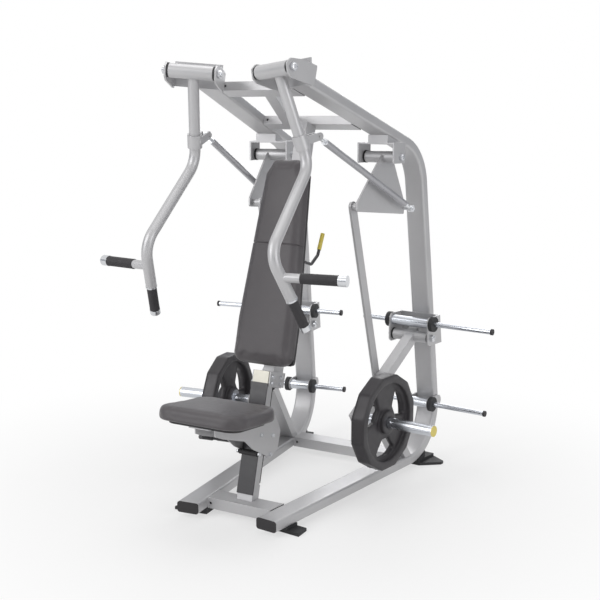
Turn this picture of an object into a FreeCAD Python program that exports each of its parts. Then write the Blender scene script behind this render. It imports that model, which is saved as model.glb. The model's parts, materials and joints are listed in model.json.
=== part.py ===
import FreeCAD, Part
import math
import os
import re
from types import SimpleNamespace

import Sketcher
from FreeCAD import Placement, Rotation, Vector

# A plate loaded chest press machine.  Millimetres, +Z up, X across the machine, the user
# faces -Y.  The right half is modelled and mirrored in the plane X = 0.
#
# Two working frames carry most pieces of the right half:
#   SIDE   x = rearward in the plane of the side frame, y = up,  z = outward
#   PRESS  x = rearward, y = up, z = outward along the tilted pivot of the press arm

SIZES = [
    ("machine_middle", 570.1, "front end of the base rails to the middle of the machine"),
    ("side_yaw", 6.76, "each side frame is splayed outward toward the rear, degrees"),
    ("side_offset", 204.0, "half distance between the side frames at the front"),
    ("tube_wide", 105.0, "side frame tube, across its plane"),
    ("tube_high", 50.0, "side frame tube, in its plane"),
    ("tube_corner", 12.0, "outer corner radius of the side frame tube"),
    ("wall", 3.0, "wall of the square and round tubes"),
    ("rail_centre", 52.0, "height of the middle of the base rail"),
    ("low_corner_s", 1389.0, "rear lower corner of the side frame"),
    ("top_corner_s", 1173.0, "rear upper corner of the side frame"),
    ("top_corner_z", 1590.0, "height of the upper corner"),
    ("arm_front_z", 1986.4, "height of the upper arm where it would reach the front"),
    ("arm_slope", 0.338, "fall of the upper arm toward the rear"),
    ("bend_radius", 240.0, "centre line radius of both bends"),
    ("foot_high", 27.0, "rubber foot, height under the rail"),
    ("foot_sole", 14.0, "rubber foot, thickness of its outer part"),
    ("front_foot_s", 78.0, "front end of the front foot"),
    ("front_foot_long", 74.0, "front foot, along the rail"),
    ("front_foot_out", 112.0, "front foot, outward from the rail middle"),
    ("rear_foot_s", 1190.0, "front end of the rear foot"),
    ("rear_foot_long", 150.0, "rear foot, along the rail"),
    ("rear_foot_out", 133.0, "rear foot, outward from the rail middle"),
    ("cap_thick", 4.0, "end plug of the base rail"),
    ("base_beam_deep", 100.0, "base crossmember, front to back"),
    ("front_beam_y", 95.0, "front edge of the front base crossmember"),
    ("rear_beam_y", 1065.0, "front edge of the rear base crossmember"),
    ("top_beam_deep", 82.0, "top crossmember, along the slope"),
    ("top_beam_high", 40.0, "top crossmember, across the slope"),
    ("top_beam_y", 270.0, "front edge of the front top crossmember"),
    ("mid_beam_y", 700.0, "front edge of the middle top crossmember"),
    ("brace_wide", 50.0, "diagonal brace between the top crossmembers"),
    ("brace_front_x", 35.0, "diagonal brace, sideways place of its front end"),
    ("brace_rear_x", -115.0, "diagonal brace, sideways place of its rear end"),
    ("vent", 6.0, "radius of the drain hole in a crossmember"),
    ("plate", 8.0, "bracket plate thickness"),
    ("shaft", 10.0, "pivot shaft radius"),
    ("head_radius", 17.0, "pivot bolt head radius"),
    ("head_thick", 12.0, "pivot bolt head thickness"),
    ("fit", 0.05, "radial running clearance of a pivot"),
    ("gap", 0.3, "gap between faces that move past each other"),
    ("pivot_half", 96.0, "half length of a pivot tube"),
    ("ear_half", 105.5, "pivot middle to the inner face of an ear"),
    ("pivot_tube", 27.5, "outer radius of the bell crank and lever pivot tubes"),
    ("seal_radius", 29.0, "outer radius of a pivot seal ring"),
    ("press_s", 83.0, "press pivot, rearward"),
    ("press_z", 1943.5, "press pivot, height"),
    ("press_d", -11.0, "press pivot, outward"),
    ("press_yaw", 19.23, "press pivot axis, turned to the front, degrees"),
    ("press_tilt", 4.8, "press pivot axis, raised outward, degrees"),
    ("press_tube", 30.0, "outer radius of the press pivot tube"),
    ("web_front", 100.0, "press pivot to the front face of the bracket web"),
    ("arm_radius", 24.0, "press arm tube radius"),
    ("arm_bend", 100.0, "press arm bend radius"),
    ("grip_radius", 22.0, "hand grip radius"),
    ("grip_core", 14.0, "radius of the rod inside a hand grip"),
    ("grip_cap", 23.0, "radius of the metal cap at a grip end"),
    ("grip_cap_long", 22.0, "length of the metal cap"),
    ("low_grip_long", 130.0, "length of the lower hand grip"),
    ("ring_long", 8.0, "length of the metal ring above the lower grip"),
    ("neck_radius", 19.0, "radius of the neck of the cross handle"),
    ("neck_long", 85.0, "arm middle to the start of the cross grip"),
    ("cross_grip_long", 158.0, "length of the cross grip"),
    ("cross_cap_long", 35.0, "length of the cross grip cap"),
    ("collar_radius", 32.0, "clamp collar outer radius"),
    ("collar_long", 60.0, "clamp collar length"),
    ("collar_along", 276.0, "pivot tube to the start of the clamp collar"),
    ("lug_gap", 11.0, "half gap between the clamp lugs"),
    ("eye_half", 10.5, "half width of a rod end eye"),
    ("eye_radius", 16.5, "rod end eye radius"),
    ("pin", 6.0, "linkage pin radius"),
    ("rod_radius", 15.0, "tie rod radius"),
    ("rod_pin_yaw", 16.37, "front pin axis of the tie rod, turned to the front, degrees"),
    ("rod_pin_tilt", 0.81, "front pin axis of the tie rod, raised outward, degrees"),
    ("shank", 7.8, "radius of the threaded shank of a rod end"),
    ("rod_rear_s", 1065.0, "tie rod rear pin, rearward"),
    ("rod_rear_z", 1323.0, "tie rod rear pin, height"),
    ("rod_rear_d", 50.0, "tie rod rear pin, outward"),
    ("bell_s", 899.0, "bell crank pivot, rearward"),
    ("bell_z", 1573.0, "bell crank pivot, height"),
    ("bell_d", -11.5, "bell crank tube middle, outward"),
    ("bell_half", 82.5, "half length of the bell crank pivot tube"),
    ("bell_ear_half", 92.0, "bell crank tube middle to the inner face of an ear"),
    ("link_top_s", 695.0, "lift link upper pin, rearward"),
    ("link_top_z", 1353.0, "lift link upper pin, height"),
    ("link_low_s", 913.0, "lift link lower pin, rearward"),
    ("link_low_z", 518.0, "lift link lower pin, height"),
    ("link_d", -46.0, "inner face of the lift link bar"),
    ("link_thick", 12.0, "lift link bar thickness"),
    ("link_half", 24.0, "half width of the lift link bar"),
    ("bush_radius", 15.0, "linkage bush radius"),
    ("open_gap", 1.0, "gap of a linkage bush that stops short of its plate"),
    ("crank_face", 9.0, "outer face of the bell crank plate, outward"),
    ("rod_end_long", 55.0, "tie rod pin to the start of its sleeve"),
    ("lever_s", 1178.0, "weight lever pivot, rearward"),
    ("lever_z", 675.0, "weight lever pivot, height"),
    ("lever_tube", 50.0, "weight lever square tube"),
    ("lever_behind", 37.0, "weight lever tube, behind its pivot"),
    ("lever_beyond", 25.0, "weight lever tube, beyond the horn"),
    ("horn_s", 689.0, "weight horn, rearward"),
    ("horn_z", 370.0, "weight horn, height"),
    ("horn_radius", 25.0, "weight horn radius"),
    ("horn_relief", 0.5, "the horn is thinner by this, in radius, under the resting plate"),
    ("horn_tip", 404.0, "weight horn tip, outward"),
    ("horn_cap_long", 10.0, "weight horn end cap"),
    ("flange_radius", 42.0, "stop flange at the foot of the weight horn"),
    ("plate_back", 113.0, "back face of the weight plate, outward"),
    ("disc_radius", 225.0, "weight plate, corner radius"),
    ("disc_thick", 65.0, "weight plate rim thickness"),
    ("disc_web", 24.0, "weight plate web thickness"),
    ("disc_rim", 34.0, "width of the weight plate rim"),
    ("disc_hub", 55.0, "weight plate hub radius"),
    ("peg", 12.5, "storage peg radius"),
    ("sleeve", 24.0, "storage sleeve radius"),
    ("bumper_radius", 37.5, "storage bumper radius"),
    ("bumper_thick", 20.0, "storage bumper thickness"),
    ("peg_cap", 15.0, "storage peg end cap radius"),
    ("peg_cap_long", 10.0, "storage peg end cap length"),
    ("store_s", 1174.0, "upper storage peg, rearward"),
    ("store_z", 747.0, "upper storage peg, height"),
    ("store_out", 439.0, "upper storage peg, outer end"),
    ("store_in", -267.0, "upper storage peg, inner end"),
    ("low_store_s", 1273.0, "lower storage peg, rearward"),
    ("low_store_z", 309.0, "lower storage peg, height"),
    ("low_store_out", 363.0, "lower storage peg, outer end"),
    ("low_store_in", -250.0, "lower storage peg, inner end"),
    ("stop_wide", 100.0, "lever stop post, across"),
    ("stop_deep", 45.0, "lever stop post, front to back"),
    ("stop_foot_s", 1083.0, "foot of the lever stop post"),
    ("stop_rubber", 20.0, "lever stop rubber thickness"),
    ("lean", 15.3, "lean of the seat column, post and back pad, degrees"),
    ("column_y", 138.0, "front face of the seat column at its foot"),
    ("cover_thick", 5.0, "front cover of the seat column"),
    ("column_wide", 80.0, "seat column tube, across"),
    ("column_deep", 45.0, "seat column tube, front to back"),
    ("column_long", 583.0, "seat column tube length"),
    ("cover_long", 500.0, "seat column front cover length"),
    ("guide_deep", 24.0, "rear guide strip of the seat column"),
    ("guide_wide", 60.0, "rear guide strip width"),
    ("saddle_high", 75.0, "saddle bracket at the foot of the column"),
    ("post_wide", 55.0, "back post, across"),
    ("post_deep", 85.0, "back post, front to back"),
    ("post_front", 65.0, "column front face plane to the post front face"),
    ("post_overlap", 71.0, "the post starts this far below the top of the column"),
    ("holder_long", 50.0, "release lever bracket plate"),
    ("holder_up", 566.0, "foot of the post to the release lever bracket, along the lean"),
    ("pad_front", -38.6, "column front face plane to the back pad face"),
    ("pad_thick", 60.0, "back pad thickness"),
    ("board_thick", 18.0, "board behind the back pad"),
    ("pad_up", 93.0, "foot of the post to the foot of the back pad, along the lean"),
    ("pad_block", 75.0, "block between the post and the back pad, along the lean"),
    ("pad_long", 942.0, "back pad length"),
    ("pad_half_low", 158.0, "half width of the back pad, lower part"),
    ("pad_half_top", 113.0, "half width of the back pad at the top"),
    ("pad_straight", 200.0, "length of the lower part with parallel sides"),
    ("seat_wide", 450.0, "seat pad width"),
    ("seat_deep", 376.0, "seat pad depth"),
    ("seat_thick", 61.0, "seat pad thickness"),
    ("seat_corner", 100.0, "seat pad corner radius"),
    ("seat_y", -49.0, "middle of the seat pad from the rail front ends"),
    ("seat_z", 560.0, "top of the seat pad at its middle"),
    ("seat_fall", 6.0, "fall of the seat pad toward the rear, degrees"),
    ("seat_board", 15.0, "board under the seat pad"),
    ("board_inset", 48.0, "the seat board is this much smaller than the pad all round"),
    ("carriage_half", 52.0, "half width of the seat carriage, over its side plates"),
    ("carriage_plate", 6.0, "seat carriage side plate thickness"),
    ("roller", 12.0, "seat carriage roller radius"),
    ("bolt", 5.0, "small bolt radius"),
    ("bolt_head", 9.0, "small bolt head radius"),
    ("bolt_head_thick", 6.0, "small bolt head thickness"),
    ("lever_rod", 6.0, "hand lever rod radius"),
    ("lever_boss", 10.0, "pivot boss of the seat lever, radius"),
    ("boss_long", 14.0, "pivot boss of the seat lever, length"),
    ("release_out", 24.0, "pivot end of the release lever to its bent run, outward"),
    ("yellow_rod", 7.5, "release lever rod radius"),
    ("yellow_grip", 10.0, "release lever grip radius"),
]

doc = FreeCAD.newDocument("chest_press")
sheet = doc.addObject("Spreadsheet::Sheet", "sizes")
for row, (alias, value, note) in enumerate(SIZES, start=1):
    sheet.set(f"A{row}", alias)
    sheet.set(f"B{row}", str(value))
    sheet.set(f"C{row}", note)
    sheet.setAlias(f"B{row}", alias)
doc.recompute()
S = SimpleNamespace(**{alias: float(sheet.get(alias)) for alias, value, note in SIZES})
POST_FOOT = S.column_long - S.post_overlap
PAD_LOW = POST_FOOT + S.pad_up

X, Y, Z = Vector(1, 0, 0), Vector(0, 1, 0), Vector(0, 0, 1)


# ---------------------------------------------------------------- working frames

def frame(origin, x_axis, y_axis):
    """Placement whose x and y run along the two given axes."""
    z_axis = x_axis.cross(y_axis)
    return Placement(origin, Rotation(x_axis, y_axis, z_axis, "XYZ"))


def at(placement, x=0.0, y=0.0, z=0.0, rotation=Rotation()):
    """A place inside a working frame."""
    return placement.multiply(Placement(Vector(x, y, z), rotation))


def world(x, y, z):
    """A point given from the front ends of the base rails."""
    return Vector(x, y - S.machine_middle, z)


YAW = math.radians(S.side_yaw)
SIDE = frame(world(S.side_offset, 0, 0), Vector(math.sin(YAW), math.cos(YAW), 0), Z)



def axis_frame(origin, yaw, tilt):
    """A frame whose z is an outward axis turned to the front and raised, and whose y points up."""
    yaw, tilt = math.radians(yaw), math.radians(tilt)
    axis = Vector(
        math.cos(tilt) * math.cos(yaw), -math.cos(tilt) * math.sin(yaw), math.sin(tilt)
    )
    rear = Vector(math.sin(yaw), math.cos(yaw), 0)
    return frame(origin, rear, axis.cross(rear))


PRESS = axis_frame(
    SIDE.multVec(Vector(S.press_s, S.press_z, S.press_d)), S.press_yaw, S.press_tilt
)
ROD_FRONT = Vector(226.0, -265.0, -16.0)
PIN = axis_frame(PRESS.multVec(ROD_FRONT), S.rod_pin_yaw, S.rod_pin_tilt)

FOOT_Z = S.rail_centre + S.tube_high / 2
# x across, y rearward square to the lean, z up along the lean
COLUMN = Placement(world(0, S.column_y, FOOT_Z), Rotation(X, -S.lean))
# x across, y rearward down the slope of the upper arms, z square to it
ARM_FALL = math.degrees(math.atan(S.arm_slope / math.cos(YAW)))


def arm_middle(s):
    """Height of the middle of the upper arm tube."""
    return S.arm_front_z - S.arm_slope * s


ARM_HALF = S.tube_high / 2 * math.sqrt(1 + S.arm_slope ** 2)


def arm_bottom(s):
    """Height of the underside of the upper arm tube."""
    return arm_middle(s) - ARM_HALF


def inner_s(y):
    """Place along the side frame of its inner face, from the world depth."""
    return (y - S.tube_wide / 2 * math.sin(YAW)) / math.cos(YAW)


TOP = Placement(
    world(0, S.top_beam_y, arm_bottom(inner_s(S.top_beam_y))), Rotation(X, -ARM_FALL)
)
MID_BEAM = (S.mid_beam_y - S.top_beam_y) / math.cos(math.radians(ARM_FALL))


# ---------------------------------------------------------------- building blocks

def link(text):
    """An expression in which each word names a cell of the sheet."""
    return re.sub(r"[a-z_]+", lambda word: "sizes." + word.group(), text)


def give(obj, side, value):
    """Bind one side of a piece to the sheet, or set the length worked out for it."""
    if isinstance(value, str):
        obj.setExpression(side, link(value))
    else:
        setattr(obj, side, value)


def box(name, long, wide, high, place):
    """A box; each side is an expression in the sheet's words or a length worked out from them."""
    obj = doc.addObject("Part::Box", name)
    give(obj, "Length", long)
    give(obj, "Width", wide)
    give(obj, "Height", high)
    obj.Placement = place
    return obj


def rod(name, radius, high, place):
    """A cylinder along the z of its place."""
    obj = doc.addObject("Part::Cylinder", name)
    give(obj, "Radius", radius)
    give(obj, "Height", high)
    obj.Placement = place
    return obj


def rod_between(name, radius, start, end):
    """A cylinder from one point to another."""
    return rod(name, radius, (end - start).Length, Placement(start, Rotation(Z, end - start)))


def rod_span(name, radius, base, x, y, low, high):
    """A cylinder across a working frame, between two outward places."""
    return rod(name, radius, high - low, at(base, x, y, low))


def cut(name, base, *tools):
    """The base less each tool."""
    for number, tool in enumerate(tools):
        obj = doc.addObject("Part::Cut", f"{name}_cut{number}")
        obj.Base = base
        obj.Tool = tool
        base = obj
    return base


def fuse(name, *parts):
    """One welded or moulded piece."""
    base = parts[0]
    for number, tool in enumerate(parts[1:]):
        obj = doc.addObject("Part::Fuse", f"{name}_fuse{number}")
        obj.Base = base
        obj.Tool = tool
        base = obj
    return base


def common(name, base, tool):
    """The part of the base inside the tool."""
    obj = doc.addObject("Part::Common", name)
    obj.Base = base
    obj.Tool = tool
    return obj


def mirror(name, source):
    """The left hand copy of a right hand piece."""
    obj = doc.addObject("Part::Mirroring", name)
    obj.Source = source
    obj.Base = Vector(0, 0, 0)
    obj.Normal = X
    return obj


def group(name, *parts):
    """Separate alike pieces in one node."""
    obj = doc.addObject("Part::Compound", name)
    obj.Links = list(parts)
    return obj


def rounded(points, radius):
    """Edges of a closed outline whose corners are rounded."""
    edges = []
    corners = []
    count = len(points)
    for number, corner in enumerate(points):
        before = points[number - 1]
        after = points[(number + 1) % count]
        inward = (before - corner).normalize()
        outward = (after - corner).normalize()
        half = inward.getAngle(outward) / 2
        reach = radius / math.tan(half)
        middle = corner + (inward + outward).normalize() * (radius / math.sin(half))
        near = middle - (inward + outward).normalize() * radius
        corners.append((corner + inward * reach, near, corner + outward * reach))
    for number, (start, near, end) in enumerate(corners):
        if radius > 0:
            edges.append(Part.Arc(start, near, end))
        following = corners[(number + 1) % count][0]
        if (following - end).Length > 1e-6:
            edges.append(Part.LineSegment(end, following))
    return edges


def body_with_sketch(name, plane, geometry, circles=()):
    """A body with one sketch: outline edges and circles whose radius is bound."""
    body = doc.addObject("PartDesign::Body", name)
    sketch = body.newObject("Sketcher::SketchObject", f"{name}_sketch")
    support = [item for item in body.Origin.OriginFeatures if item.Role == plane][0]
    sketch.AttachmentSupport = [(support, "")]
    sketch.MapMode = "FlatFace"
    for edge in geometry:
        sketch.addGeometry(edge, False)
    for x, y, radius in circles:
        index = sketch.addGeometry(Part.Circle(Vector(x, y, 0), Z, 5.0), False)
        number = sketch.addConstraint(Sketcher.Constraint("Radius", index, 5.0))
        sketch.setExpression(f"Constraints[{number}]", link(radius))
    return body, sketch


def slab(name, points, thick, place, circles=(), corner=0.0):
    """A plate: a flat outline with rounded corners and round holes, padded along z."""
    outline = rounded([Vector(x, y, 0) for x, y in points], corner)
    body, sketch = body_with_sketch(name, "XY_Plane", outline, circles)
    pad = body.newObject("PartDesign::Pad", f"{name}_pad")
    pad.Profile = sketch
    pad.setExpression("Length", link(thick))
    body.Placement = place
    return body


def obround(start, end, radius, steps=14):
    """Outline of a plate with a round end about each of two points."""
    direction = math.atan2(end[1] - start[1], end[0] - start[0])
    outline = []
    for centre, turn in ((end, -math.pi / 2), (start, math.pi / 2)):
        for step in range(steps + 1):
            angle = direction + turn + math.pi * step / steps
            outline.append((centre[0] + radius * math.cos(angle), centre[1] + radius * math.sin(angle)))
    return outline


def bent_path(points, radius):
    """A wire of straight runs joined by arcs of one radius."""
    edges = []
    start = points[0]
    for number in range(1, len(points) - 1):
        corner = points[number]
        inward = (points[number - 1] - corner).normalize()
        outward = (points[number + 1] - corner).normalize()
        half = inward.getAngle(outward) / 2
        reach = radius / math.tan(half)
        bisector = (inward + outward).normalize()
        near = corner + bisector * (radius / math.sin(half) - radius)
        edges.append(Part.LineSegment(start, corner + inward * reach).toShape())
        edges.append(Part.Arc(corner + inward * reach, near, corner + outward * reach).toShape())
        start = corner + outward * reach
    edges.append(Part.LineSegment(start, points[-1]).toShape())
    return Part.Wire(edges)


def bent_bar(name, points, bend, radius, place=Placement()):
    """A round bar bent along points; the sizes are read from the sheet by the caller."""
    path = bent_path([Vector(*point) for point in points], bend)
    heading = path.Edges[0].tangentAt(path.Edges[0].FirstParameter)
    ring = Part.Wire([Part.Circle(path.Edges[0].valueAt(0), heading, radius).toShape()])
    obj = doc.addObject("Part::Feature", name)
    obj.Shape = path.makePipeShell([ring], True, False)
    obj.Placement = place
    return obj


NODES = {}


def node(name, obj):
    """Name a finished sub-part; the label is its file name."""
    obj.Label = name
    NODES[name] = obj
    return obj


def both(name, right):
    """A finished sub-part on each side, the left one mirrored."""
    node("right_" + name, right)
    node("left_" + name, mirror(f"left_{name}_mirror", right))


def pair(name, *right):
    """One node holding right hand pieces and their left hand copies."""
    copies = [mirror(f"{name}_mirror{number}", piece) for number, piece in enumerate(right)]
    node(name, group(f"{name}_group", *right, *copies))


# ---------------------------------------------------------------- main frame

def side_frames():
    """One bent tube each side: base rail, leaning upright and upper arm."""
    corners = [
        Vector(0, S.rail_centre, 0),
        Vector(S.low_corner_s, S.rail_centre, 0),
        Vector(S.top_corner_s, S.top_corner_z, 0),
        Vector(S.press_s, arm_middle(S.press_s), 0),
    ]
    path = bent_path(corners, S.bend_radius)
    body, spine = body_with_sketch("side_tube", "XY_Plane", [edge_curve(edge) for edge in path.Edges])
    profile = body.newObject("Sketcher::SketchObject", "side_tube_profile")
    support = [item for item in body.Origin.OriginFeatures if item.Role == "YZ_Plane"][0]
    profile.AttachmentSupport = [(support, "")]
    profile.MapMode = "FlatFace"
    for inset in (0.0, S.wall):
        half_high = S.tube_high / 2 - inset
        half_wide = S.tube_wide / 2 - inset
        low, high = S.rail_centre - half_high, S.rail_centre + half_high
        outline = [
            Vector(low, -half_wide, 0), Vector(high, -half_wide, 0),
            Vector(high, half_wide, 0), Vector(low, half_wide, 0),
        ]
        for edge in rounded(outline, S.tube_corner - inset):
            profile.addGeometry(edge, False)
    pipe = body.newObject("PartDesign::AdditivePipe", "side_tube_pipe")
    pipe.Profile = profile
    pipe.Spine = (spine, [])
    body.Placement = SIDE
    # the front end of the upper arm is cut to lie flat on the web of the press bracket
    end_trim = box(
        "arm_end_trim", "10 * plate * 5", "10 * plate * 5", "10 * plate * 5",
        at(PRESS, S.web_front + S.plate - 50 * S.plate, -25 * S.plate, -25 * S.plate),
    )
    both("side_frame", cut("side_frame", body, end_trim))


def edge_curve(edge):
    """The line segment or arc that an edge follows."""
    start, end = edge.valueAt(edge.FirstParameter), edge.valueAt(edge.LastParameter)
    if isinstance(edge.Curve, Part.Line):
        return Part.LineSegment(start, end)
    middle = edge.valueAt((edge.FirstParameter + edge.LastParameter) / 2)
    return Part.Arc(start, middle, end)


def span_block():
    """The space between the inner faces of the two side frames, to trim crossmembers."""
    near, far = -400.0, 1600.0
    outline = []
    for y, sign in ((near, -1), (near, 1), (far, 1), (far, -1)):
        x = S.side_offset + inner_s(y) * math.sin(YAW) - S.tube_wide / 2 * math.cos(YAW)
        outline.append((sign * x, y - S.machine_middle))
    return slab("span", outline, "top_corner_z * 2", Placement())


def beam(name, span, deep, high, place, hole_height):
    """A hollow crossmember that ends on the inner faces of the side frames."""
    half = S.low_corner_s / 2
    base = at(place, -half)
    outer = box(f"{name}_outer", "low_corner_s", deep, high, base)
    inner = box(
        f"{name}_inner", "low_corner_s", f"{deep} - 2 * wall", f"{high} - 2 * wall",
        at(base, 0, S.wall, S.wall),
    )
    hole = rod(
        f"{name}_vent", "vent", "2 * wall",
        at(place, hole_height[0], -S.wall, hole_height[1], Rotation(X, -90)),
    )
    tube = common(f"{name}_trimmed", cut(name, outer, inner), span)
    node(name, cut(f"{name}_drained", tube, hole))
    return outer


def crossmembers():
    """Two crossmembers in the base, two at the top, and the diagonal brace at the top."""
    span = span_block()
    low = S.foot_high
    for name, y, reach in (("front_base_crossmember", S.front_beam_y, -148.0),
                           ("rear_base_crossmember", S.rear_beam_y, -262.0)):
        place = Placement(world(0, y, low), Rotation())
        beam(name, span, "base_beam_deep", "tube_high", place, (reach, S.tube_high / 2))
    front = beam(
        "front_top_crossmember", span, "top_beam_deep", "top_beam_high", TOP,
        (-165.0, S.top_beam_high / 2),
    )
    middle = beam(
        "middle_top_crossmember", span, "top_beam_deep", "top_beam_high", at(TOP, 0, MID_BEAM),
        (-215.0, S.top_beam_high / 2),
    )
    start = Vector(S.brace_front_x, S.top_beam_deep / 2, 0)
    end = Vector(S.brace_rear_x, MID_BEAM + S.top_beam_deep / 2, 0)
    heading = Rotation(Z, math.degrees(math.atan2((end - start).y, (end - start).x)))
    base = TOP.multiply(Placement(start, heading))
    long = "(mid_beam_y - top_beam_y) * 1.11"
    outer = box("brace_outer", long, "brace_wide", "top_beam_high", at(base, 0, -S.brace_wide / 2))
    inner = box(
        "brace_inner", long, "brace_wide - 2 * wall", "top_beam_high - 2 * wall",
        at(base, 0, S.wall - S.brace_wide / 2, S.wall),
    )
    node("top_diagonal_brace", cut("brace", outer, inner, front, middle))


def rubber_foot(name, start, long, outline):
    """A block under the rail on a thinner sole that reaches outward."""
    inner = 2 - S.tube_wide / 2
    sole = slab(f"{name}_sole", [(start, inner), *outline, (start + getattr(S, long), inner)], "foot_sole",
                at(SIDE, 0, S.foot_sole, 0, Rotation(X, 90)))
    block = box(f"{name}_block", long, "foot_high", "tube_wide - 4", at(SIDE, start, 0, inner))
    return fuse(f"{name}_foot", block, sole)


def feet_and_plugs():
    """Rubber feet under both ends of each rail and a plug in each front end."""
    inner = 2 - S.tube_wide / 2
    start, end = S.front_foot_s, S.front_foot_s + S.front_foot_long
    front = rubber_foot("front", start, "front_foot_long",
                        [(start, S.front_foot_out), (end, S.front_foot_out - 12)])
    start, end = S.rear_foot_s, S.rear_foot_s + S.rear_foot_long
    rear = rubber_foot("rear", start, "rear_foot_long",
                       [(start, -inner), (end - 70, S.rear_foot_out), (end - 45, S.rear_foot_out), (end, -inner)])
    # the rear foot has a saddle that follows the underside of the bend
    lean = math.atan2(S.low_corner_s - S.top_corner_s, S.top_corner_z - S.rail_centre)
    bend_s = S.low_corner_s - S.bend_radius / math.tan((math.pi / 2 - lean) / 2)
    saddle = box("foot_saddle", "rear_foot_long * 0.4", "2 * foot_high", "tube_wide - 4",
                 at(SIDE, S.rear_foot_s, S.foot_high / 2, inner))
    bend = rod("foot_bend", "bend_radius + tube_high / 2", "tube_wide",
               at(SIDE, bend_s, S.rail_centre + S.bend_radius, -S.tube_wide / 2))
    pair("rubber_feet", front, fuse("rear_foot_whole", rear, cut("foot_saddle", saddle, bend)))
    low, high = S.foot_high, S.foot_high + S.tube_high
    half = S.tube_wide / 2
    outline = [(low, -half), (high, -half), (high, half), (low, half)]
    plug = slab(
        "rail_plug", outline, "cap_thick",
        at(SIDE, -S.cap_thick, 0, 0, Rotation(Y, Z, X, "XYZ")), corner=S.tube_corner,
    )
    pair("rail_end_plugs", plug)


# ---------------------------------------------------------------- brackets and pivots

def press_brackets():
    """A U bracket on the front end of each upper arm; its web closes the arm tube."""
    web_rear = S.web_front + S.plate
    outline = [(-27, -24), (-8, -43), (98, -72), (web_rear, -72), (130, 7), (60, 30), (-8, 35), (-30, 16)]
    ears = []
    for name, place in (("outer", S.ear_half), ("inner", -S.ear_half - S.plate)):
        ears.append(slab(
            f"press_ear_{name}", outline, "plate", at(PRESS, 0, 0, place), [(0, 0, "shaft")], 6.0,
        ))
    web = box(
        "press_web", "plate", "tube_wide", "2 * ear_half",
        at(PRESS, S.web_front, -72 + S.plate, -S.ear_half),
    )
    window = rod(
        "press_web_hole", "shaft * 1.2", "3 * plate",
        at(PRESS, S.web_front - S.plate, 0, 72, Rotation(Y, 90)),
    )
    pair("press_brackets", cut("press_bracket", fuse("press_bracket", *ears, web), window))


def bell_brackets():
    """A U bracket with a level roof that hangs the bell crank under a wedge on each upper arm."""
    front, rear = S.bell_s - 59, S.bell_s + 41
    low, roof = S.bell_z - 28, S.bell_z + 59
    ears = []
    for name, place in (("outer", S.bell_ear_half), ("inner", -S.bell_ear_half - S.plate)):
        ears.append(slab(
            f"bell_ear_{name}", [(front, low), (rear, low), (rear, roof), (front, roof)], "plate",
            at(SIDE, 0, 0, S.bell_d + place), [(S.bell_s, S.bell_z, "shaft")],
        ))
    level = roof + S.plate
    top = slab("bell_roof", [(front, roof), (rear, roof), (rear, level), (front, level)],
               "2 * bell_ear_half + 2 * plate", at(SIDE, 0, 0, S.bell_d - S.bell_ear_half - S.plate))
    wedge = slab("bell_wedge", [(front, level), (rear, level), (rear, arm_bottom(rear)),
                                (front, arm_bottom(front))], "tube_wide", at(SIDE, 0, 0, -S.tube_wide / 2))
    pair("bell_crank_brackets", fuse("bell_bracket", *ears, top, wedge))


def upright_face(z):
    """Front face of the leaning upright."""
    lean = (S.low_corner_s - S.top_corner_s) / (S.top_corner_z - S.rail_centre)
    middle = S.low_corner_s - lean * (z - S.rail_centre)
    return middle - S.tube_high / 2 * math.sqrt(1 + lean ** 2)


def lever_brackets():
    """A U bracket on the front of each upright for the lever pivot and the upper peg."""
    low, high = S.lever_z - 37, S.store_z + 33
    web = [(upright_face(low) - S.plate, low), (upright_face(low), low),
           (upright_face(high), high), (upright_face(high) - S.plate, high)]
    back = slab("lever_web", web, "2 * ear_half + 2 * plate", at(SIDE, 0, 0, -S.ear_half - S.plate))
    outline = [(S.store_s - 16, low), (upright_face(low) - 2, low), (upright_face(high) - 2, high),
               (S.store_s - 14, high), (S.store_s - 30, high - 16), (S.store_s - 30, low + 14)]
    ears = []
    for name, place in (("outer", S.ear_half), ("inner", -S.ear_half - S.plate)):
        ears.append(slab(
            f"lever_ear_{name}", outline, "plate", at(SIDE, 0, 0, place),
            [(S.lever_s, S.lever_z, "shaft"), (S.store_s, S.store_z, "peg")], 5.0,
        ))
    pair("lever_brackets", fuse("lever_bracket", back, *ears))


def low_storage_brackets():
    """Two cheek plates on the sides of each upright that hold the lower storage peg."""
    outline = obround((S.low_store_s, S.low_store_z), (S.low_store_s + 82, S.low_store_z), 30.0)
    cheeks = []
    for name, place in (("outer", S.tube_wide / 2), ("inner", -S.tube_wide / 2 - S.plate)):
        cheeks.append(slab(
            f"low_cheek_{name}", outline, "plate", at(SIDE, 0, 0, place),
            [(S.low_store_s, S.low_store_z, "peg")],
        ))
    pair("lower_storage_brackets", *cheeks)


def pivot_bolt(name, base, centre, ear):
    """A shaft through both ears with a head at each end; centre is x, y, z in the base frame."""
    x, y, z = centre
    reach = getattr(S, ear) + S.plate
    parts = [rod(f"{name}_shaft", "shaft", f"2 * {ear} + 2 * plate", at(base, x, y, z - reach))]
    for end, place in (("outer", z + reach), ("inner", z - reach - S.head_thick)):
        parts.append(rod(f"{name}_{end}", "head_radius", "head_thick", at(base, x, y, place)))
    return fuse(name, *parts)


def seals(name, base, centre, ear, tube):
    """Two rubber seal rings between a pivot tube and its ears."""
    x, y, z = centre
    long = f"{ear} - {tube} - gap"
    rings = []
    for end, place in (("outer", getattr(S, tube) + S.gap), ("inner", -getattr(S, ear))):
        ring = rod(f"{name}_{end}", "seal_radius", long, at(base, x, y, z + place))
        bore = rod(f"{name}_{end}_bore", "shaft", long, at(base, x, y, z + place))
        rings.append(cut(f"{name}_{end}_ring", ring, bore))
    return rings


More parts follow.
